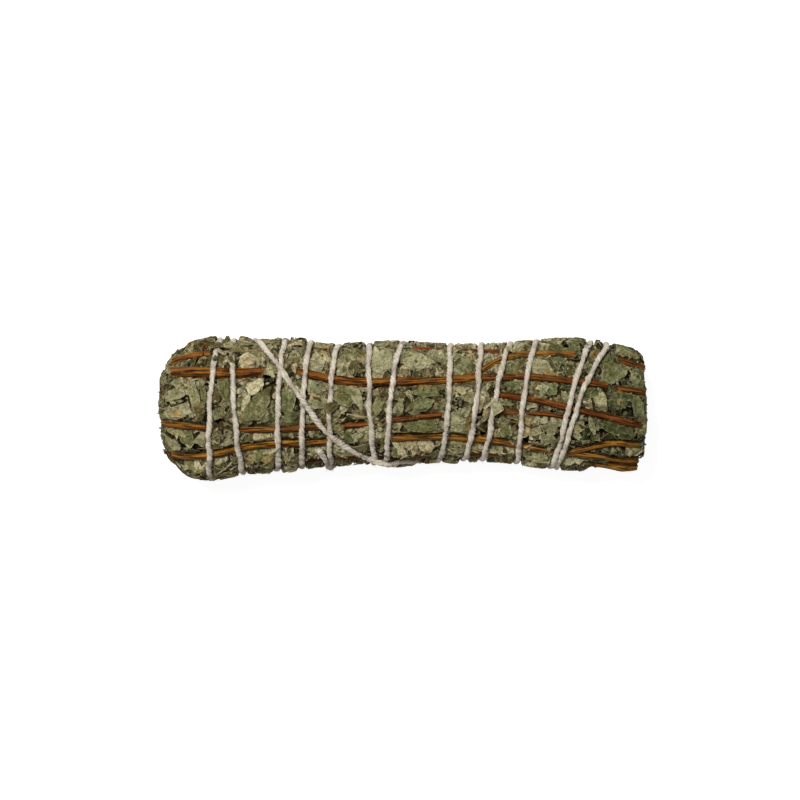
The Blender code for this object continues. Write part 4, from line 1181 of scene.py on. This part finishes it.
def filled(draw, number, layer):
    """One layer of a bunch's filling."""
    form, a_square_mm, lengths, shares, heights, tilt, crumple = layer
    left, right = BUNCH_ENDS[number]
    count = round((right - left + sum(OVER_ENDS)) * bunch_span(number, 0)[1] * MM_A_DEGREE * a_square_mm)
    s = draw.uniform(left - OVER_ENDS[0], right + OVER_ENDS[1], count)
    start, span = bunch_span(number, s)
    clock = start - draw.uniform(0, 1, count) * span
    length = draw.uniform(*lengths, count)
    width = length * draw.uniform(*shares, count)
    heading = draw.normal(0, STALK_SPREAD, count) if form == "stalk" else draw.uniform(-180, 180, count)
    patch = PATCHES * ripple(np.column_stack([s, clock * MM_A_DEGREE]), 14, 901)
    darker = eased((DARKER_FROM - s) / DARKER_OVER) * (DARKER_EDGES if number in EDGE_BUNCHES else DARKER)
    greener = GREENER if number in FRONT_BUNCHES else GREENER_BACK
    greener = eased((s - GREENER_FROM) / GREENER_OVER) * greener
    pale = draw.normal(*PALE, count) + (patch - darker) - greener
    dry = np.clip(draw.normal(*DRY, count) - 1.2 * greener, 0, 1)
    dry = dry + BROWNER * (draw.uniform(0, 1, count) < BROWNED)
    if form == "stalk":
        pale, dry = draw.uniform(*STALK_PALE, count), draw.uniform(*STALK_DRY, count)
    height = draw.uniform(*heights, count)
    tilts, fold = draw.normal(0, tilt, (count, 2)), draw.normal(0, 0.22, count) * (form in COARSE)
    curls = np.column_stack([tilts, fold, draw.normal(0, 0.09, count), draw.normal(0, 0.03, count)])
    crumple = crumple * draw.uniform(0.4, 1.6, count)
    leaves = np.column_stack([s, clock, length, width, heading, pale, dry, height, crumple, curls])
    keep = left_free(s, clock, 0.0 if heights[1] < -0.3 else 0.9)
    return laid(draw, "slender" if form == "stalk" else form, leaves[keep], (left, right))


def laid_in_sight(draw, number, leaves, over_string):
    """The leaves in sight that are this bunch's."""
    parts = []
    for x, clock, *values, form, height in leaves:
        if bunch_at(x, clock) == number:
            *curls, crumple = STIFF[form]
            leaf = [x, clock, *values, height + IN_SIGHT_LIFT, crumple, *draw.normal(0, 0.11, 2), *curls]
            parts += laid(draw, form, np.array([leaf]), BUNCH_ENDS[number], over_string)
    return parts


# Sage leaf, dried: matt felted hairs over a pebbled surface with a raised midrib, grey-green where it dried
# pale, dark green where it broke, straw-brown along its edges. The eye gets soft velvety patches with dark
# gaps between.
PEBBLE = 0.40  # between the bumps of a leaf's surface
CREASE = 1.3  # between the creases of a crumpled leaf
FELT_A_MM = 3.2  # coarser than the hairs of the leaf's own felt, so that it shows
MOTTLE_A_MM, CRACKS_A_MM = 0.9, 0.7
felted = bpy.data.materials.new("sage leaf, dried, felted")
tree = empty_tree(felted)
place = add("TexCoord", {}, "Object")
paleness, dryness, depth_shade = add("SeparateColor", {0: add("Attribute", {}, attribute_name="tint")}, None)
lengthwise, crosswise, rim = add("SeparateColor", {0: add("Attribute", {}, attribute_name="spot")}, None)
mottle = add("TexNoise", {0: place, "Scale": MOTTLE_A_MM / MM, "Detail": 4, "Roughness": 0.6})
grain = add("TexNoise", {0: place, "Scale": FELT_A_MM / MM, "Detail": 2})
pebbles = add("TexVoronoi", {0: place, "Scale": 1 / (PEBBLE * MM)}, feature="SMOOTH_F1")
creases = add("TexVoronoi", {0: place, "Scale": 1 / (CREASE * MM)})
# Its tone runs from dark through middle to pale, in three sets of colours from green to straw-brown.
shift = add("Math", {0: mottle, 1: 0.5}, operation="SUBTRACT")
shift = add("Math", {0: shift, 1: 1.0, 2: paleness}, operation="MULTIPLY_ADD")
from_dark = add("MapRange", {0: shift, 1: 0.0, 2: 0.5})
to_pale = add("MapRange", {0: shift, 1: 0.5, 2: 1.0})
tones = []
for dark, middle, pale in (
    ("#1F2305", "#686C40", "#B0AE86"), ("#2C2105", "#86784A", "#D6CAA2"), ("#482C08", "#A8884A", "#E4D2A4")
):
    tone = add("Mix", {0: from_dark, 6: colour(dark), 7: colour(middle)}, 2, data_type="RGBA")
    tones.append(add("Mix", {0: to_pale, 6: tone, 7: colour(pale)}, 2, data_type="RGBA"))
wilted = add("MapRange", {0: dryness, 1: 0.0, 2: 0.3})
strawy = add("MapRange", {0: dryness, 1: 0.3, 2: 0.9})
tone = add("Mix", {0: wilted, 6: tones[0], 7: tones[1]}, 2, data_type="RGBA")
tone = add("Mix", {0: strawy, 6: tone, 7: tones[2]}, 2, data_type="RGBA")
edge = add("MapRange", {0: rim, 1: 0.75, 2: 1.0, 4: 0.35})
tone = add("Mix", {0: edge, 6: tone, 7: colour("#C9BE98")}, 2, data_type="RGBA")
# Its rib and the veins that run from it towards the edges.
from_rib = add("Math", {0: add("Math", {0: crosswise, 1: 0.5}, operation="SUBTRACT")}, operation="ABSOLUTE")
rib = add("MapRange", {0: from_rib, 1: 0.02, 2: 0.07, 3: 1.0, 4: 0.0})
veins = add("Math", {0: from_rib, 1: 1.1, 2: lengthwise}, operation="MULTIPLY_ADD")
veins = add("Math", {0: add("Math", {0: veins, 1: 40.0}, operation="MULTIPLY")}, operation="SINE")
ribbed = add("Math", {0: rib, 1: add("MapRange", {0: veins, 1: 0.75, 2: 1.0, 4: 0.5})}, operation="MAXIMUM")
rib_share = add("Math", {0: ribbed, 1: 0.14}, operation="MULTIPLY")
tone = add("Mix", {0: rib_share, 6: tone, 7: colour("#BDB891")}, 2, data_type="RGBA")
# Its felt, painted shade in its cracks, and painted shade on the places that lie buried, darker the deeper
# they lie.
speck = add("MapRange", {0: grain, 1: 0.32, 2: 0.62, 3: 0.66, 4: 1.10})
tone = add("VectorMath", {0: tone, 1: speck}, operation="MULTIPLY")
# Painted shade: thin dark lines, as the shade in cracks between crumbs.
crack_shade = add("TexNoise", {0: place, "Scale": CRACKS_A_MM / MM, "Detail": 3, "Distortion": 0.6})
crack_shade = add("Math", {0: add("Math", {0: crack_shade, 1: 0.5}, operation="SUBTRACT")}, operation="ABSOLUTE")
crack_shade = add("MapRange", {0: crack_shade, 1: 0.0, 2: 0.03, 3: 0.7, 4: 0.0})
tone = add("Mix", {0: crack_shade, 6: tone, 7: colour("#2A2006")}, 2, data_type="RGBA")
tone = add("Mix", {0: depth_shade, 6: tone, 7: colour("#241602")}, 2, data_type="RGBA")
relief = add("Math", {0: grain, 1: 0.8, 2: pebbles}, operation="MULTIPLY_ADD")
relief = add("Math", {0: ribbed, 1: 0.8, 2: relief}, operation="MULTIPLY_ADD")
crinkles = add("Math", {0: mottle, 1: 1.6, 2: creases}, operation="MULTIPLY_ADD")
crinkled = add("Bump", {"Height": crinkles, "Strength": 1.0, "Distance": 0.4 * MM})
felt = add("Bump", {"Height": relief, "Strength": 0.8, "Distance": 0.12 * MM, "Normal": crinkled})
surface = {"Base Color": tone, "Roughness": 0.92, "Specular IOR Level": 0.06, "Normal": felt}
surface |= {"Sheen Weight": 0.04, "Sheen Roughness": 0.5, "Sheen Tint": colour("#A8A070")}
add("OutputMaterial", {"Surface": add("BsdfPrincipled", surface)}, None)

for number in range(len(SEAMS)):
    name = f"leaf_bunch_{number + 1}"
    draw = np.random.default_rng(100 + number)
    parts = [leaf_bed(name)]
    for layer in FILLING:
        parts += filled(draw, number, layer)
    parts += laid_in_sight(draw, number, in_sight, False)
    parts += laid_in_sight(draw, number, on_string, True)
    for inwards, x in zip((1, -1), BUNCH_ENDS[number]):
        start, span = bunch_span(number, x)
        for form, count in STANDING.items():
            parts += standing(draw, form, count, x, inwards, start, -span)
    points, faces, tints, spots = zip(*parts)
    starts = np.cumsum([0] + [len(batch) for batch in points[:-1]])
    faces = np.concatenate([batch + start for batch, start in zip(faces, starts)])
    leaves = joined_mesh(f"sage_leaves_{number + 1}", np.concatenate(points), faces)
    paint(leaves.data, "tint", np.concatenate(tints))
    paint(leaves.data, "spot", np.concatenate(spots))
    leaves.data.shade_smooth()
    leaves.data.set_sharp_from_angle(angle=math.radians(25))
    leaves.data.materials.append(felted)
    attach(leaves, "root")
    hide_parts(name)
